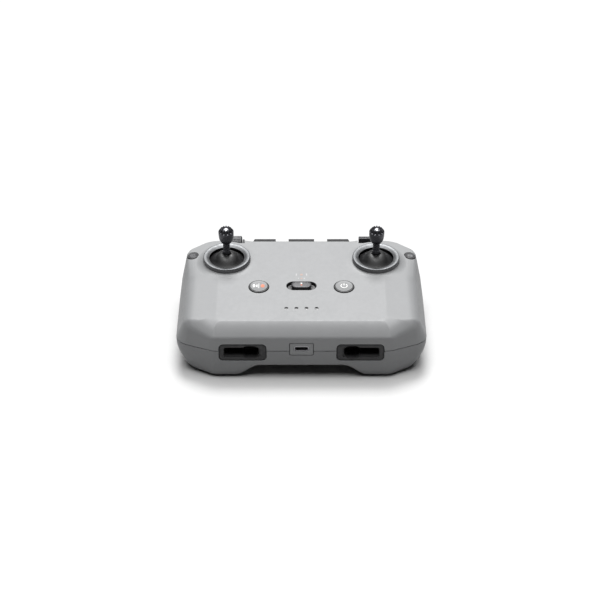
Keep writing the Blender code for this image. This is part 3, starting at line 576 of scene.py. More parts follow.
def top_outer_rows(outline):
    """Rows from the seam, up the wall, round the crease and in to the flat core."""
    core = plan_loop(TOP_CORE, ROLL_START, lambda x: TOP_CORE_REAR)
    crease = inset_loop(outline, [crease_inset(point) for point in outline])
    rounding = inset_loop(outline, [EDGE] * len(outline))
    seam_z = SEAM_Z + GAP / 2.0
    rows = [[(p.x, p.y, seam_z) for p in rounding]]
    near = lerp_loop(outline, rounding, 0.3)
    rows.append([(p.x, p.y, seam_z + EDGE * 0.3) for p in near])
    rows.append([(p.x, p.y, seam_z + EDGE) for p in outline])
    steps = 6
    columns = []
    for i, point in enumerate(outline):
        top = Vector((crease[i].x, crease[i].y, face_height(crease[i].x, crease[i].y)))
        foot = Vector((point.x, point.y, seam_z + EDGE))
        reach = crease_softness(point)
        low = top + (foot - top).normalized() * reach
        inner = core[i] - crease[i]
        share = reach / inner.length
        step = crease[i] + inner * share
        high = Vector((step.x, step.y, face_height(step.x, step.y)))
        column = [foot + (low - foot) * share_up for share_up in (0.33, 0.66)]
        for k in range(steps + 1):
            t = k / steps
            column.append(low * (1.0 - t) ** 2 + top * (2.0 * t * (1.0 - t)) + high * t ** 2)
        for t in SURFACE_SHARES:
            flat = step + (core[i] - step) * t
            column.append(Vector((flat.x, flat.y, face_height(flat.x, flat.y))))
        columns.append(column)
    for k in range(len(columns[0])):
        rows.append([tuple(column[k]) for column in columns])
    return rows


def top_inner_rows(outline):
    core = plan_loop(TOP_CORE, ROLL_START, lambda x: TOP_CORE_REAR)
    core = inset_loop(core, [1.0] * len(core))
    seam = inset_loop(outline, [WALL] * len(outline))
    crease = inset_loop(outline, [crease_inset(point) + WALL for point in outline])
    rows = [[(p.x, p.y, SEAM_Z + GAP / 2.0) for p in seam]]
    for share in (0.0, 0.3, 0.65, 1.0):
        loop = lerp_loop(crease, core, share)
        rows.append([(p.x, p.y, face_height(p.x, p.y) - WALL) for p in loop])
    return rows


def slot_outline(extra):
    """Outline of the mode slot, grown by extra all round."""
    return obround(SLOT_LENGTH + 2 * extra, SLOT_WIDTH + 2 * extra)


def flared(outline_at, depth, top, lip=0.25, steps=4):
    """Cutter with a rounded lip at height 0: outline_at(extra) gives its outline."""
    loops = [[(u, v, -depth) for u, v in outline_at(0.0)]]
    for i in range(steps + 1):
        angle = pi / 2.0 * i / steps
        extra = lip * (1.0 - cos(angle))
        loops.append([(u, v, -lip + lip * sin(angle)) for u, v in outline_at(extra)])
    loops.append([(u, v, 0.02) for u, v in outline_at(lip + 0.02)])
    loops.append([(u, v, top) for u, v in outline_at(lip + 0.02)])
    return skin(loops)


def insert_cutter(side):
    x = side * (INSERT_NEAR_X + INSERT_FAR_X) / 2.0
    clearance = 0.2
    width = INSERT_FAR_X - INSERT_NEAR_X + 2.0 * clearance
    height = INSERT_HIGH - INSERT_LOW + 2.0 * clearance
    outline = rounded(width, height, 2.9, 8, x, (INSERT_LOW + INSERT_HIGH) / 2.0)
    return prism(outline, BEYOND_FRONT, -46.0, "Y")


def surround_cutter():
    return prism(rounded(15.0, 8.7, 0.8, 6, 0.0, USB_PLATE_Z), BEYOND_FRONT, -47.0, "Y")


def top_cover():
    outline = plan_loop(OUTLINE, FRONT_Y, outline_rear)
    bm = bmesh.new()
    outer = new_rows(bm, top_outer_rows(outline))
    inner = new_rows(bm, top_inner_rows(outline))
    bridge(bm, list(reversed(inner)) + outer)
    bm.faces.new(outer[-1])
    bm.faces.new(list(reversed(inner[-1])))
    bmesh.ops.triangulate(bm, faces=[face for face in bm.faces if len(face.verts) == 4])
    cover = raw_object("top_cover_shell", bm)
    tools = []
    seat = PIVOT_DEPTH - RING_SEAT
    for side in (-1, 1):
        tools.append((lathe(((0.0, 5.0), (GIMBAL_HOLE, 5.0), (GIMBAL_HOLE, seat),
                             (RING_RADIUS + 0.12, seat), (RING_RADIUS + 0.12, 20.0),
                             (0.0, 20.0)), 96),
                      gimbal_frame(side)))
        main_hole = flared(lambda e: circle(MAIN_BUTTON_RADIUS + BUTTON_GAP + e, 64), 5.0, 5.0)
        tools.append((main_hole, face_frame(side * MAIN_BUTTON_X, MAIN_BUTTON_Y)))
        side_hole = flared(lambda e: circle(SIDE_BUTTON_RADIUS + SIDE_BUTTON_GAP + e, 48), 8.0,
                           5.0)
        tools.append((side_hole, side_button_frame(side)))
        edges = mirrored(side, *NOTCH_X)
        tools.append(box(edges, (NOTCH_Y, 55.0), (NOTCH_Z, 50.0)))
        tools.append(insert_cutter(side))
    tools.append((flared(slot_outline, 5.0, 5.0), face_frame(0.0, SLOT_Y)))
    for i in range(4):
        tools.append((flared(lambda e: circle(LED_HOLE + e, 24), 4.0, 5.0, 0.1),
                      face_frame((i - 1.5) * LED_SPACING, LED_Y)))
    tools.append(surround_cutter())
    cut(cover, tools)
    piece(cover, SHELL, "root", ("top_cover",), 34.0)


def bottom_row(outline, core, share, wall):
    points = []
    for i, point in enumerate(lerp_loop(outline, core, share)):
        reach = (outline[i] - core[i]).length
        rest = reach * (1.0 - share)
        base = underside(point.x)
        side = side_share(outline[i])
        fillet = ARCH_FILLET + (GRIP_FILLET - ARCH_FILLET) * (1.0 - base / ARCH_Z)
        inner = max(0.0, rest - max(0.0, reach - fillet))
        arc = fillet - sqrt(max(0.0, fillet ** 2 - min(inner, fillet) ** 2))
        bulge = SIDE_BULGE * (1.0 - sqrt(1.0 - min(1.0, rest / reach) ** 2))
        points.append((point.x, point.y, base + arc + (bulge - arc) * side + wall))
    return points


def bottom_cover():
    outline = plan_loop(OUTLINE, FRONT_Y, outline_rear)
    front, rear = BOTTOM_CORE_ENDS
    core = plan_loop(BOTTOM_CORE, front, lambda x: rear)
    steps = 18
    shares = [1.0 - cos(pi / 2.0 * i / steps) for i in range(1, steps + 1)]
    seam_z = SEAM_Z - GAP / 2.0
    rounding = inset_loop(outline, [EDGE] * len(outline))
    near = lerp_loop(outline, rounding, 0.3)
    outer = [[(p.x, p.y, seam_z) for p in rounding],
             [(p.x, p.y, seam_z - EDGE * 0.3) for p in near],
             [(p.x, p.y, seam_z - EDGE) for p in outline]]
    outer += [bottom_row(outline, core, share, 0.0) for share in shares]
    inner_plan = inset_loop(outline, [WALL] * len(outline))
    inner_core = inset_loop(core, [0.4] * len(core))
    inner = [[(p.x, p.y, seam_z) for p in inner_plan]]
    inner += [bottom_row(inner_plan, inner_core, share, WALL) for share in (0.1, 0.4, 0.7, 1.0)]
    bm = bmesh.new()
    outer = new_rows(bm, outer)
    inner = new_rows(bm, inner)
    bridge(bm, list(reversed(outer)) + inner)
    span = len(line_places())
    half = len(outline) // 2
    for under in (outer[-1], inner[-1]):
        for i in range(span - 1):
            bm.faces.new((under[i], under[i + 1],
                          under[half + span - 2 - i], under[half + span - 1 - i]))
        bm.faces.new(under[span - 1:half + 1])
        bm.faces.new(under[half + span - 1:] + under[:1])
    bmesh.ops.triangulate(bm, faces=[face for face in bm.faces if len(face.verts) == 4])
    cover = raw_object("bottom_cover_shell", bm)
    tools = []
    for x, y in SCREW_PLACES:
        tools.append((lathe(((0.0, 0.0), (2.8, 0.0), (2.8, ARCH_Z + 1.2), (1.6, ARCH_Z + 1.2),
                             (1.6, 16.0), (0.0, 16.0)), 48), place(x, y, 0.0)))
    for side in (-1, 1):
        edges = mirrored(side, RAIL_X[0] - 0.4, RAIL_X[1] + 0.4)
        tools.append(insert_cutter(side))
        tools.append(box(edges, (37.0, 50.0), (RAIL_Z[0] - 0.4, RAIL_Z[1] + 0.4)))
    tools.append(surround_cutter())
    cut(cover, tools)
    piece(cover, UNDER_PAINTED_SHADE, "root", ("bottom_cover",), 34.0)


# ---- gimbals and sticks
def ring_boss(name, side):
    """Soft flare of the top cover up to the flat base of a trim ring."""
    inner = RING_RADIUS + 0.16
    outer = RING_RADIUS + 5.2
    steps = 96
    rows = 14
    loops = []
    for k in range(rows + 1):
        share = k / rows
        radius = inner + (outer - inner) * share
        loop = []
        for i in range(steps):
            angle = 2.0 * pi * i / steps
            x = side * GIMBAL_X + radius * cos(angle)
            y = GIMBAL_Y + radius * sin(angle)
            base = face_height(x, y)
            rim_x = side * GIMBAL_X + inner * cos(angle)
            rim_y = GIMBAL_Y + inner * sin(angle)
            rise = face_plane(rim_y) + 0.35 - face_height(rim_x, rim_y)
            flare = (1.0 - share) ** 2.2
            loop.append((x, y, base + rise * flare - 0.03 * smooth_step(share * 4 - 3)))
        loops.append(loop)
    foot = [(p[0], p[1], p[2] - 0.5) for p in loops[-1]]
    under = [(p[0], p[1], face_height(p[0], p[1]) - 0.5) for p in loops[0]]
    boss = raw_object(name, skin(loops + [foot, under], cyclic=True))
    piece(boss, SHELL, "root")


def trim_ring(label, side):
    frame_at = gimbal_frame(side)
    face = PIVOT_DEPTH
    top = face + RING_TOP
    profile = [(GIMBAL_HOLE + 0.1, face - 1.0), (RING_RADIUS, face - 1.0),
               (RING_RADIUS, top - 0.9)]
    profile += arc_points((RING_RADIUS - 0.55, top - 0.6), 0.55, 0.0, 75.0, 6)
    profile += [(RING_RADIUS - 0.75, top - 0.02), (RING_HOLE + 1.9, top - 0.14),
                (RING_HOLE + 1.2, top - 0.4), (RING_HOLE + 0.3, top - 0.95),
                (RING_HOLE, top - 1.12), (RING_HOLE, top - 1.2), (12.6, face + 0.8)]
    ring = raw_object(f"{label}_ring", lathe(profile, 128), frame_at)
    piece(ring, RING, "root", (f"{label}_trim_ring",), 40.0, False)
    # Dark skirt over the ring's outer wall: painted shade where the wall faces the viewer and
    # falls in shadow.
    base = lathe(((RING_RADIUS + 0.01, face - 0.9), (RING_RADIUS + 0.14, face - 0.9),
                  (RING_RADIUS + 0.14, top - 1.25), (RING_RADIUS + 0.01, top - 1.1)), 128)
    skirt = raw_object(f"{label}_ring_painted_shade_skirt", base, frame_at)
    piece(skirt, RING_WALL_PAINTED_SHADE, "root", (), 40.0)


def dome_reach(angle):
    """Distance from the pivot to the outside of the dome, by the angle from the stick."""
    low, high = DOME_RISE_ANGLES
    return DOME_RADIUS + DOME_RISE * (1.0 - smooth_step((angle - low) / (high - low)))


def dust_dome(label, side):
    steps = 40
    first = DOME_BORE / (DOME_RADIUS + DOME_RISE)
    angles = [first + (DOME_ANGLE - first) * i / steps for i in range(steps + 1)]
    profile = []
    for angle in angles:
        reach = dome_reach(angle) - DOME_WALL
        profile.append((max(DOME_BORE, reach * sin(angle)), reach * cos(angle)))
    for angle in reversed(angles):
        reach = dome_reach(angle)
        profile.append((reach * sin(angle), reach * cos(angle)))
    dome = raw_object(f"{label}_dome", lathe(profile, 96), gimbal_frame(side))
    piece(dome, DOME, f"{label}_post", (f"{label}_dust_dome",), 50.0, False)
    foot_outline = rounded(4.7, 4.7, 0.4, 6)
    turn = Matrix.Rotation(pi / 4.0, 2)
    turned = [tuple(turn @ Vector(p)) for p in foot_outline]
    loops = []
    for grow, height in ((1.0, 17.3), (1.0, 18.05), (0.9, 18.25), (0.75, 18.4)):
        loops.append([(u * grow, v * grow, height) for u, v in turned])
    foot = raw_object(f"{label}_stick_foot", skin(loops), gimbal_frame(side))
    bevel(foot, 0.12, 2)
    piece(foot, DOME, f"{label}_post")


def stick(label, side):
    frame_at = gimbal_frame(side)
    bore = POST_RADIUS + GAP
    stem_profile = [(bore, STEM_Z), (STEM_RADIUS + 0.35, STEM_Z),
                    (STEM_RADIUS + 0.5, STEM_Z + 0.2), (STEM_RADIUS + 0.5, STEM_Z + 0.9),
                    (STEM_RADIUS + 0.1, STEM_Z + 1.4), (STEM_RADIUS, STEM_Z + 1.8)]
    for k in range(3):
        height = STEM_Z + 3.0 + 1.6 * k
        stem_profile += [(STEM_RADIUS, height), (STEM_RADIUS - 0.18, height + 0.2),
                         (STEM_RADIUS - 0.18, height + 0.5), (STEM_RADIUS, height + 0.7)]
    stem_profile += [(STEM_RADIUS, HEAD_Z + 3.0), (0.0, HEAD_Z + 3.0), (0.0, BORE_END),
                     (bore, BORE_END)]
    stem = raw_object(f"{label}_stem", lathe(stem_profile, 48), frame_at)
    piece(stem, STICK, f"{label}_stick", (f"{label}_stick_stem",), 28.0, False)

    teeth = 12
    per_tooth = 10
    steps = teeth * per_tooth
    neck = STEM_RADIUS + 0.1
    side_profile = [(neck, HEAD_Z), (neck + 0.35, HEAD_Z + 0.05), (neck + 0.8, HEAD_Z + 0.4),
                    (3.6, HEAD_Z + 1.2), (4.1, HEAD_Z + 2.1), (4.45, HEAD_Z + 3.2),
                    (4.68, HEAD_Z + 4.4), (4.8, HEAD_Z + 5.6), (4.85, HEAD_Z + 7.0),
                    (4.85, HEAD_Z + 8.0), (4.78, HEAD_Z + 8.5)]
    crown = [(4.6, HEAD_TOP - 1.9, 0.3), (4.3, HEAD_TOP - 1.5, 0.9), (3.9, HEAD_TOP - 0.95, 1.0),
             (3.6, HEAD_TOP - 0.45, 1.0), (3.35, HEAD_TOP - 0.1, 1.0), (3.1, HEAD_TOP, 0.9),
             (2.8, HEAD_TOP - 0.1, 0.7), (2.4, HEAD_TOP - 0.5, 0.4)]
    loops = [[(a, b, z) for a, b in circle(r, steps)] for r, z in side_profile]
    for radius, height, depth in crown:
        loop = []
        for i, (a, b) in enumerate(circle(1.0, steps)):
            phase = i / per_tooth % 1.0
            notch = smooth_step(1.0 - abs(phase - 0.5) * 2.0 * 1.3)
            r = radius - 0.45 * depth * notch
            loop.append((r * a, r * b, height - 0.6 * depth * notch))
        loops.append(loop)
    for radius, height in ((1.9, HEAD_TOP - 1.0), (1.65, HEAD_TOP - 1.15)):
        loops.append([(a, b, height) for a, b in circle(radius, steps)])
    head = raw_object(f"{label}_head", skin(loops), frame_at)
    piece(head, STICK, f"{label}_stick", (f"{label}_stick_head",), 38.0, False)
    # Bright tip in the crown: painted highlight.
    button = lathe([(0.0, HEAD_TOP - 1.4), (1.6, HEAD_TOP - 1.4), (1.6, HEAD_TOP - 0.95),
                    (1.4, HEAD_TOP - 0.65), (1.0, HEAD_TOP - 0.42), (0.5, HEAD_TOP - 0.32),
                    (0.0, HEAD_TOP - 0.3)], 48)
    tip = raw_object(f"{label}_head_tip", button, frame_at)
    piece(tip, CROWN_PAINTED_HIGHLIGHT, f"{label}_stick", (), 60.0, False)


# ---- printed marks
def mark(name, outline, frame_at, material, body, low=0.0, thickness=0.035):
    obj = raw_object(name, prism(outline, low - 0.03, low + thickness), frame_at)
    piece(obj, material, body)


def ring_arc(radius, width, start, end, steps):
    outer = arc_points((0.0, 0.0), radius, start, end, steps)
    inner = arc_points((0.0, 0.0), radius - width, end, start, steps)
    return outer + inner


def rectangle(u0, v0, u1, v1):
    return [(u0, v0), (u1, v0), (u1, v1), (u0, v1)]


# ---- buttons and switch
def button_cap(name, radius, rise, frame_at, material, body, node, steps=72, dish=0.12):
    """Round cap with a rolled edge and a slightly dished face, over a black skirt."""
    profile = [(0.0, -2.0), (radius - 0.05, -2.0), (radius - 0.05, -0.3), (radius, -0.25),
               (radius, rise - 0.4)]
    profile += arc_points((radius - 0.4, rise - 0.4), 0.4, 10.0, 90.0, 6)
    profile += [(radius - 0.9, rise - 0.03), (radius * 0.6, rise - dish * 0.75),
                (radius * 0.3, rise - dish), (0.0, rise - dish)]
    cap = raw_object(name, lathe(profile, steps), frame_at)
    piece(cap, material, body, (node,), 40.0)


def painted_shade_liner(name, outline_at, frame_at):
    """Black liner round a hole: painted shade, so that the gap round a button reads dark as if
    in shadow.
    """
    loops = [[(u, v, w) for u, v in outline_at(e)]
             for e, w in ((0.02, -LINER_DEPTH), (0.02, -0.5), (-0.1, -0.5),
                          (-0.1, -LINER_DEPTH))]
    liner = raw_object(name, skin(loops, cyclic=True), frame_at)
    piece(liner, BLACK_AND_PAINTED_SHADE, "root")


def button_painted_shade_skirt(label, profile, steps, frame_at):
    """Black skirt of a button: painted shade, seen as a dark line round its cap where its side
    and gap fall in shadow.
    """
    piece(raw_object(f"{label}_skirt", lathe(profile, steps), frame_at), BLACK_AND_PAINTED_SHADE, label)


def main_buttons():
    for side, label in ((-1, "home"), (1, "power")):
        frame_at = face_frame(side * MAIN_BUTTON_X, MAIN_BUTTON_Y)
        button_cap(f"{label}_cap", MAIN_BUTTON_RADIUS - SKIRT_WIDTH, BUTTON_RISE, frame_at,
                   BUTTON, label, f"{label}_button")
        inner = MAIN_BUTTON_RADIUS - SKIRT_WIDTH - 0.1
        button_painted_shade_skirt(label, ((inner, -3.0), (MAIN_BUTTON_RADIUS + 0.2, -3.0),
                             (MAIN_BUTTON_RADIUS + 0.2, BUTTON_RISE - 0.5),
                             (MAIN_BUTTON_RADIUS + 0.05, BUTTON_RISE - 0.38),
                             (inner, BUTTON_RISE - 0.3)), 72, frame_at)
        painted_shade_liner(f"{label}_painted_shade_liner",
                   lambda e: circle(MAIN_BUTTON_RADIUS + BUTTON_GAP + e, 72), frame_at)
    height = BUTTON_RISE - 0.1
    marks = (("home", "bar", rectangle(-0.18, -2.3, 0.18, 2.3), INK_WHITE),
             ("home", "left_block", rectangle(-3.7, -1.5, -2.6, 1.5), INK_WHITE),
             ("home", "left_arrow", [(-0.9, -1.5), (-0.9, 1.5), (-2.2, 0.0)], INK_WHITE),
             ("home", "right_roof", [(0.8, 0.2), (3.9, 0.2), (2.35, 1.8)], INK_ORANGE),
             ("home", "right_wall", rectangle(1.3, -1.6, 3.4, 0.2), INK_ORANGE),
             ("power", "arc", ring_arc(2.2, 0.45, 125.0, 415.0, 40), INK_WHITE),
             ("power", "bar", rectangle(-0.25, 0.5, 0.25, 2.4), INK_WHITE))
    for label, name, outline, ink in marks:
        side = -1 if label == "home" else 1
        mark(f"{label}_mark_{name}", outline, face_frame(side * MAIN_BUTTON_X, MAIN_BUTTON_Y),
             ink, label, height)


def side_buttons():
    for side, label in ((-1, "function"), (1, "photo")):
        frame_at = side_button_frame(side)
        button_cap(f"{label}_cap", SIDE_BUTTON_RADIUS - SIDE_SKIRT_WIDTH, SIDE_BUTTON_RISE,
                   frame_at, GRAPHITE, label, f"{label}_button", 56, 0.06)
        inner = SIDE_BUTTON_RADIUS - SIDE_SKIRT_WIDTH - 0.1
        button_painted_shade_skirt(label, ((inner, -2.0), (SIDE_BUTTON_RADIUS, -2.0),
                             (SIDE_BUTTON_RADIUS, 0.0), (SIDE_BUTTON_RADIUS - 0.1, 0.08),
                             (inner, 0.08)), 56, frame_at)
        painted_shade_liner(f"{label}_painted_shade_liner",
                   lambda e: circle(SIDE_BUTTON_RADIUS + SIDE_BUTTON_GAP + e, 56), frame_at)
    height = SIDE_BUTTON_RISE - 0.06
    marks = (("function", "ring", ring_arc(1.5, 0.35, 0.0, 350.0, 36), BUTTON, height),
             ("function", "dot", circle(0.45, 20), BUTTON, height),
             ("photo", "body", rounded(3.2, 2.2, 0.5, 5), BUTTON, height),
             ("photo", "lens", circle(0.65, 20), INK_DARK, height + 0.02))
    for label, name, outline, ink, low in marks:
        frame_at = side_button_frame(-1 if label == "function" else 1)
        mark(f"{label}_mark_{name}", outline, frame_at, ink, label, low)


def mode_switch():
    frame_at = face_frame(0.0, SLOT_Y)
    loops = []
    for extra, height in ((1.2, -3.4), (1.2, -2.35), (-0.3, -2.35), (-0.75, -1.9)):
        loops.append([(u, v, height) for u, v in slot_outline(extra)])
    tray = raw_object("mode_tray", skin(loops), frame_at)
    piece(tray, BLACK_AND_PAINTED_SHADE, "root", ("mode_switch_tray",), 30.0)
    # The slot's black liner is painted shade too: it darkens the gap round the tray.
    painted_shade_liner("mode_slot_painted_shade_liner", slot_outline, frame_at)
    ridge = [[(u, v, height) for u, v in slot_outline(extra)]
             for extra, height in ((-1.5, -2.0), (-1.5, -1.65), (-1.95, -1.65), (-1.95, -2.0))]
    piece(raw_object("mode_tray_ridge", skin(ridge, cyclic=True), frame_at), GRAPHITE, "root",
          (), 30.0)
    loops = []
    for shrink, height in ((0.3, -1.5), (0.3, -0.6), (0.0, -0.4), (0.0, SLIDER_RISE - 0.55),
                           (0.1, SLIDER_RISE - 0.3), (0.45, SLIDER_RISE - 0.05),
                           (0.9, SLIDER_RISE), (1.1, SLIDER_RISE - 0.12)):
        loops.append([(u, v, height) for u, v in
                      obround(SLIDER_LENGTH - 2 * shrink, SLIDER_WIDTH - 2 * shrink)])
    slider = raw_object("mode_slider_cap", skin(loops), frame_at)
    grooves = [box((u - 0.25, u + 0.25), (-1.7, 1.7), (SLIDER_RISE - 0.4, SLIDER_RISE + 1.0))
               for u in (-4.2, -3.3, -2.4, -1.5, 1.5, 2.4, 3.3, 4.2)]
    cut(slider, grooves, frame_at)
    piece(slider, GRAPHITE, "mode", ("mode_slider",), 30.0)
    top = SLIDER_RISE - 0.12
    mark("mode_slider_mark", circle(0.55, 20, 0.0, 0.75), frame_at, INK_WHITE, "mode",
         top)
    mark("mode_slider_tick", rectangle(-0.5, -1.3, 0.5, -0.5), frame_at, INK_ORANGE, "mode",
         top)
    marks = ((-3.2, 11.6, 0.8, 2.4, INK_FAINT), (3.2, 11.6, 0.8, 2.4, INK_FAINT),
             (0.0, 11.6, 1.6, 1.8, INK_ORANGE_FAINT), (-1.8, 7.6, 0.6, 1.5, INK_FAINT),
             (1.8, 7.6, 0.6, 1.5, INK_FAINT), (0.0, 7.6, 1.2, 1.2, INK_ORANGE_FAINT))
    for number, (u, v, width, height, ink) in enumerate(marks):
        mark(f"mode_position_mark_{number}", rounded(width, height, 0.25, 4, u, v), frame_at,
             ink, "root")


def battery_lights():
    for i in range(4):
        frame_at = face_frame((i - 1.5) * LED_SPACING, LED_Y)
        lens = lathe([(0.0, -1.9), (0.98, -1.9), (0.98, -0.03), (1.2, -0.03), (1.2, 0.02),
                      (1.0, 0.04), (0.0, 0.05)], 28)
        nodes = ("led_light_guide",) if i == 0 else ()
        piece(raw_object(f"battery_light_{i + 1}", lens, frame_at), SMOKED, "root",
              nodes, 50.0)
    bar = raw_object("battery_light_bar", box((-11.0, 11.0), (LED_Y - 1.6, LED_Y + 1.6),
                                              (32.4, 34.3)))
    bevel(bar, 0.3)
    piece(bar, SMOKED, "root")


def rear_controls():
    low = NOTCH_X[0] + 0.5
    high = NOTCH_X[1] - 0.5
    profile = ((38.6, 30.2), (46.0, 30.2), (46.0, 41.2), (44.6, 43.0), (41.4, 43.4),
               (41.4, 39.0), (38.6, 39.0))
    shutter = raw_object("shutter_cap", prism(profile, low, high, "X"))
    bevel(shutter, 0.45, 4)
    piece(shutter, GRAPHITE, "shutter", ("shutter_button",), 30.0)

    teeth = 28
    outline = []
    for i in range(teeth * 6):
        phase = i / 6.0 % 1.0
        radius = DIAL_RADIUS - 0.42 * smooth_step(1.0 - abs(phase - 0.5) * 4.0)
        angle = 2.0 * pi * i / (teeth * 6)
        outline.append((radius * cos(angle), radius * sin(angle)))
    frame_at = place(0.0, DIAL_Y, DIAL_Z)
    left = -NOTCH_X[1] + 1.9
    right = -NOTCH_X[0] - 1.9
    loops = []
    for shrink, x in ((0.82, left), (0.93, left + 0.12), (1.0, left + 0.6),
                      (1.0, right - 0.6), (0.93, right - 0.12), (0.82, right)):
        loops.append([(x, u * shrink, v * shrink) for u, v in outline])
    dial = raw_object("dial_wheel", skin(loops), frame_at)
    cut(dial, [rod(1.5, left - 2.0, right + 2.0, "X", 32)], frame_at)
    piece(dial, GRAPHITE, "dial", ("gimbal_dial",), 32.0)


# ---- front fittings
def leaning(outline, y):
    """Loop at depth y that leans back with the front wall above the seam."""
    return [(u, y + FRONT_LEAN * max(0.0, v - SEAM_Z), v) for u, v in outline]


def stick_pockets():
    for side, label in ((-1, "left"), (1, "right")):
        x = side * (INSERT_NEAR_X + INSERT_FAR_X) / 2.0
        z = (INSERT_LOW + INSERT_HIGH) / 2.0
        width = INSERT_FAR_X - INSERT_NEAR_X
        height = INSERT_HIGH - INSERT_LOW
        loops = []
        for shrink, y in ((0.0, -40.0), (0.0, -51.2), (0.12, -51.55), (0.45, -51.8),
                          (0.9, -51.85)):
            outline = rounded(width - 2 * shrink, height - 2 * shrink, 2.7 - shrink * 0.8, 10,
                              x, z)
            loops.append(leaning(outline, y))
        insert = raw_object(f"{label}_pocket", skin(loops))
        head = prism(rounded(10.8, 9.2, 4.0, 10, side * 31.2, z), BEYOND_FRONT, -41.2, "Y")
        stem = prism(rounded(14.4, 6.0, 1.2, 8, side * 40.2, z), BEYOND_FRONT, -41.4, "Y")
        lips = prism(rounded(22.6, 7.2, 1.6, 8, side * 36.4, z), BEYOND_FRONT, -50.9, "Y")
        for tool in (lips, head, stem):
            cut(insert, [tool])
        bevel(insert, 0.18, 2, 40.0)
        piece(insert, RUBBER, "root", (f"{label}_stick_storage",), 34.0)


def usb_port():
    loops = []
    for shrink, y in ((0.0, -49.2), (0.0, -51.7), (0.1, -51.92), (0.3, -52.02)):
        outline = rounded(14.4 - 2 * shrink, 8.1 - 2 * shrink, 0.7, 8, 0.0, USB_PLATE_Z)
        loops.append(leaning(outline, y))
    surround = raw_object("usb_surround_plate", skin(loops))
    cut(surround, [prism(rounded(9.4, 3.6, 1.7, 10, 0.0, USB_Z), BEYOND_FRONT, -45.0, "Y")])
    bevel(surround, 0.12, 2, 40.0)
    piece(surround, SHELL, "root", ("usb_surround",), 34.0)
    socket = raw_object("usb_socket_shell",
                        prism(rounded(9.0, 3.2, 1.5, 10, 0.0, USB_Z), -51.3, -43.4, "Y"))
    cut(socket, [prism(rounded(8.4, 2.6, 1.25, 10, 0.0, USB_Z), BEYOND_FRONT, -44.2, "Y")])
    piece(socket, STEEL, "root", ("usb_socket",), 34.0)
    tongue = raw_object("usb_socket_tongue",
                        box((-3.2, 3.2), (-50.2, -44.0), (USB_Z - 0.35, USB_Z + 0.35)))
    bevel(tongue, 0.15, 2)
    piece(tongue, BLACK_AND_PAINTED_SHADE, "root")


# ---- phone holder
def phone_holder():
    profile = ((JAW_Y, JAW_LOW + 1.0), (JAW_Y + 1.0, JAW_LOW), (JAW_BACK, JAW_LOW),
               (JAW_BACK, 35.2), (JAW_Y + 1.0, 39.4), (JAW_Y, 38.6))
    jaw = raw_object("jaw_body", prism(profile, -JAW_HALF, JAW_HALF, "X"))
    tools = [box((-40.0, 40.0), (40.0, 47.0), (28.3, 36.3)),
             box((-32.3, 32.3), (47.9, 55.0), (12.0, 27.0)),
             box((-32.2, 32.2), (43.7, 46.3), (37.0, 50.0))]
    for side in (-1, 1):
        edges = mirrored(side, RAIL_X[0] - GAP, RAIL_X[1] + GAP)
        tools.append(box(edges, (40.0, 44.3), (RAIL_Z[0] - GAP, RAIL_Z[1] + GAP)))
    cut(jaw, tools)
    bevel(jaw, 0.35, 3, 40.0)
    piece(jaw, SHELL, "holder", ("holder_jaw",), 32.0)

    pad = raw_object("jaw_rubber", box((-31.9, 31.9), (44.0, 46.0), (37.3, 38.0)))
    teeth = []
    for low, high in TOOTH_SPANS:
        left = TOOTH_SLANT if low < -10.0 else 0.0
        right = TOOTH_SLANT if high > 10.0 else 0.0
        teeth.append(prism(((low, 37.6), (high, 37.6), (high - right, TOOTH_TOP),
                            (low + left, TOOTH_TOP)), 44.0, 46.0, "Y"))
    cut(pad, teeth, None, "UNION")
    bevel(pad, 0.25, 3, 40.0)
    piece(pad, RUBBER, "holder", ("jaw_grip_pad",), 32.0)

    plate = raw_object("jaw_back_plate",
                       prism(rounded(68.0, 23.6, 3.0, 10, 0.0, 21.8), 50.9, 52.1, "Y"))
    cut(plate, [prism(rounded(50.0, 0.7, 0.34, 6, 0.0, height), 51.8, 54.0, "Y")
                for height in (14.0, 16.0, 18.0)])
    bevel(plate, 0.3, 3, 40.0)
    piece(plate, SHELL, "holder", ("jaw_cover",), 32.0)

    rear = raw_object("rear_rubber",
                      prism(rounded(62.0, 11.0, 2.0, 8, 0.0, 33.0), 41.3, 42.3, "Y"))
    cut(rear, [prism(rounded(56.0, 0.8, 0.38, 6, 0.0, height), 42.0, 44.0, "Y")
               for height in (30.0, 32.0, 34.0, 36.0)])
    bevel(rear, 0.2, 3, 40.0)
    piece(rear, RUBBER, "root", ("rear_grip_pad",), 32.0)
    for side, label in ((-1, "left"), (1, "right")):
        edges = mirrored(side, *RAIL_X)
        rail = raw_object(f"{label}_rail", box(edges, (-45.0, 44.0), RAIL_Z))
        bevel(rail, 0.4, 3)
        piece(rail, STEEL, "holder", (f"{label}_holder_rail",), 32.0)


def case_screws():
    """Countersunk cross-head screws in the raised underside."""
    for number, (x, y) in enumerate(SCREW_PLACES, start=1):
        top = 33.2
        low = ARCH_Z + 0.1
        profile = [(0.0, low), (2.2, low), (2.45, low + 0.12), (2.5, low + 0.3),
                   (2.5, low + 0.8), (1.25, low + 0.8), (1.25, top), (0.0, top)]
        screw = raw_object(f"cross_screw_{number}", lathe(profile, 48), place(x, y, 0.0))
        arm, half = 1.3, 0.24
        corner = ((arm, -half), (arm, half), (half, half), (half, arm))
        cross = []
        for turn in range(4):
            quarter = Matrix.Rotation(turn * pi / 2.0, 2)
            cross += [tuple(quarter @ Vector(point)) for point in corner[1:]]
        cut(screw, [prism(cross, low - 1.0, low + 0.6)], place(x, y, 0.0))
        piece(screw, STEEL, "root", (f"case_screw_{number}",), 32.0)


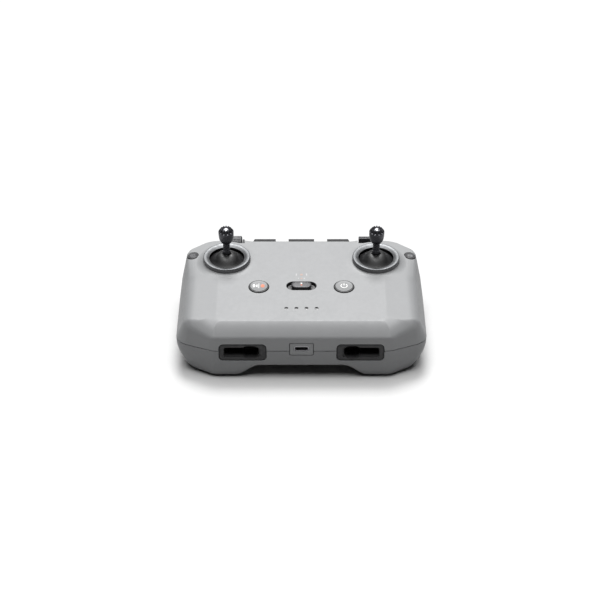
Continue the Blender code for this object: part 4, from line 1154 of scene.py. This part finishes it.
def inner_nodes():
    """Inner CAD pieces that stay: each gets its finish."""
    plain = {"main_board": BOARD, "antenna_board": BOARD, "left_battery_cell": CELL,
             "right_battery_cell": CELL, "dial_axle": STEEL, "dial_fork": BLACK_AND_PAINTED_SHADE}
    for label in ("left", "right"):
        for part in ("gimbal_housing", "gimbal_yoke", "cross_arm", "pitch_sensor",
                     "roll_sensor", "holder_guide"):
            plain[f"{label}_{part}"] = BLACK_AND_PAINTED_SHADE
        for part in ("stick_post", "pitch_spring", "roll_spring"):
            plain[f"{label}_{part}"] = STEEL
    for name, material in plain.items():
        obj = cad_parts[name]
        obj.data.materials.clear()
        obj.data.materials.append(material)


# ---- stage
def floor():
    bm = bmesh.new()
    corners = rectangle(-FLOOR_HALF, -FLOOR_HALF, FLOOR_HALF, FLOOR_HALF)
    bm.faces.new([bm.verts.new((x, y, 0.0)) for x, y in corners])
    obj = raw_object("floor", bm)
    material = finish_material("floor_paper", (0.41, 0.41, 0.41), 0.8, 2.0, 0.02, blotch=0.004)
    shader = material.node_tree.nodes["Principled BSDF"]
    shader.inputs["Specular IOR Level"].default_value = 0.1
    obj.data.materials.append(material)


def sun(name, azimuth, elevation, strength, spread):
    """Soft sun: azimuth 0 shines from behind the object, elevation 90 from straight above."""
    data = bpy.data.lights.new(name, "SUN")
    data.energy = strength
    data.angle = radians(spread)
    obj = bpy.data.objects.new(name, data)
    bpy.context.scene.collection.objects.link(obj)
    turn = radians(azimuth)
    tilt = radians(elevation)
    towards = Vector((sin(turn) * cos(tilt), cos(turn) * cos(tilt), sin(tilt)))
    obj.rotation_euler = (-towards).to_track_quat("-Z", "Y").to_euler()


def lights():
    sun("overhead", 0.0, 90.0, 4.6, 60.0)
    sun("rear_key", 0.0, 60.0, 3.9, 24.0)
    world = bpy.data.worlds.new("studio")
    bpy.context.scene.world = world
    world.use_nodes = True
    background = world.node_tree.nodes["Background"]
    set_inputs(background, {"Color": (1.0, 1.0, 1.0, 1.0), "Strength": 0.03})


def camera():
    data = bpy.data.cameras.new("camera")
    data.lens = LENS_MM
    data.sensor_width = 36.0
    obj = bpy.data.objects.new("camera", data)
    bpy.context.scene.collection.objects.link(obj)
    away = Vector((0.0, -cos(CAMERA_ELEVATION), sin(CAMERA_ELEVATION)))
    obj.location = (Vector(CAMERA_TARGET) + away * CAMERA_DISTANCE) * MM
    obj.rotation_euler = (pi / 2.0 - CAMERA_ELEVATION, 0.0, 0.0)
    bpy.context.scene.camera = obj
    bpy.context.scene.view_settings.view_transform = "Standard"


def build():
    camera()
    top_cover()
    bottom_cover()
    for label, side in (("left", -1), ("right", 1)):
        ring_boss(f"{label}_ring_boss", side)
        trim_ring(label, side)
        dust_dome(label, side)
        stick(label, side)
    main_buttons()
    side_buttons()
    mode_switch()
    battery_lights()
    rear_controls()
    stick_pockets()
    usb_port()
    phone_holder()
    case_screws()
    inner_nodes()
    floor()
    lights()


build()
bpy.context.view_layer.update()
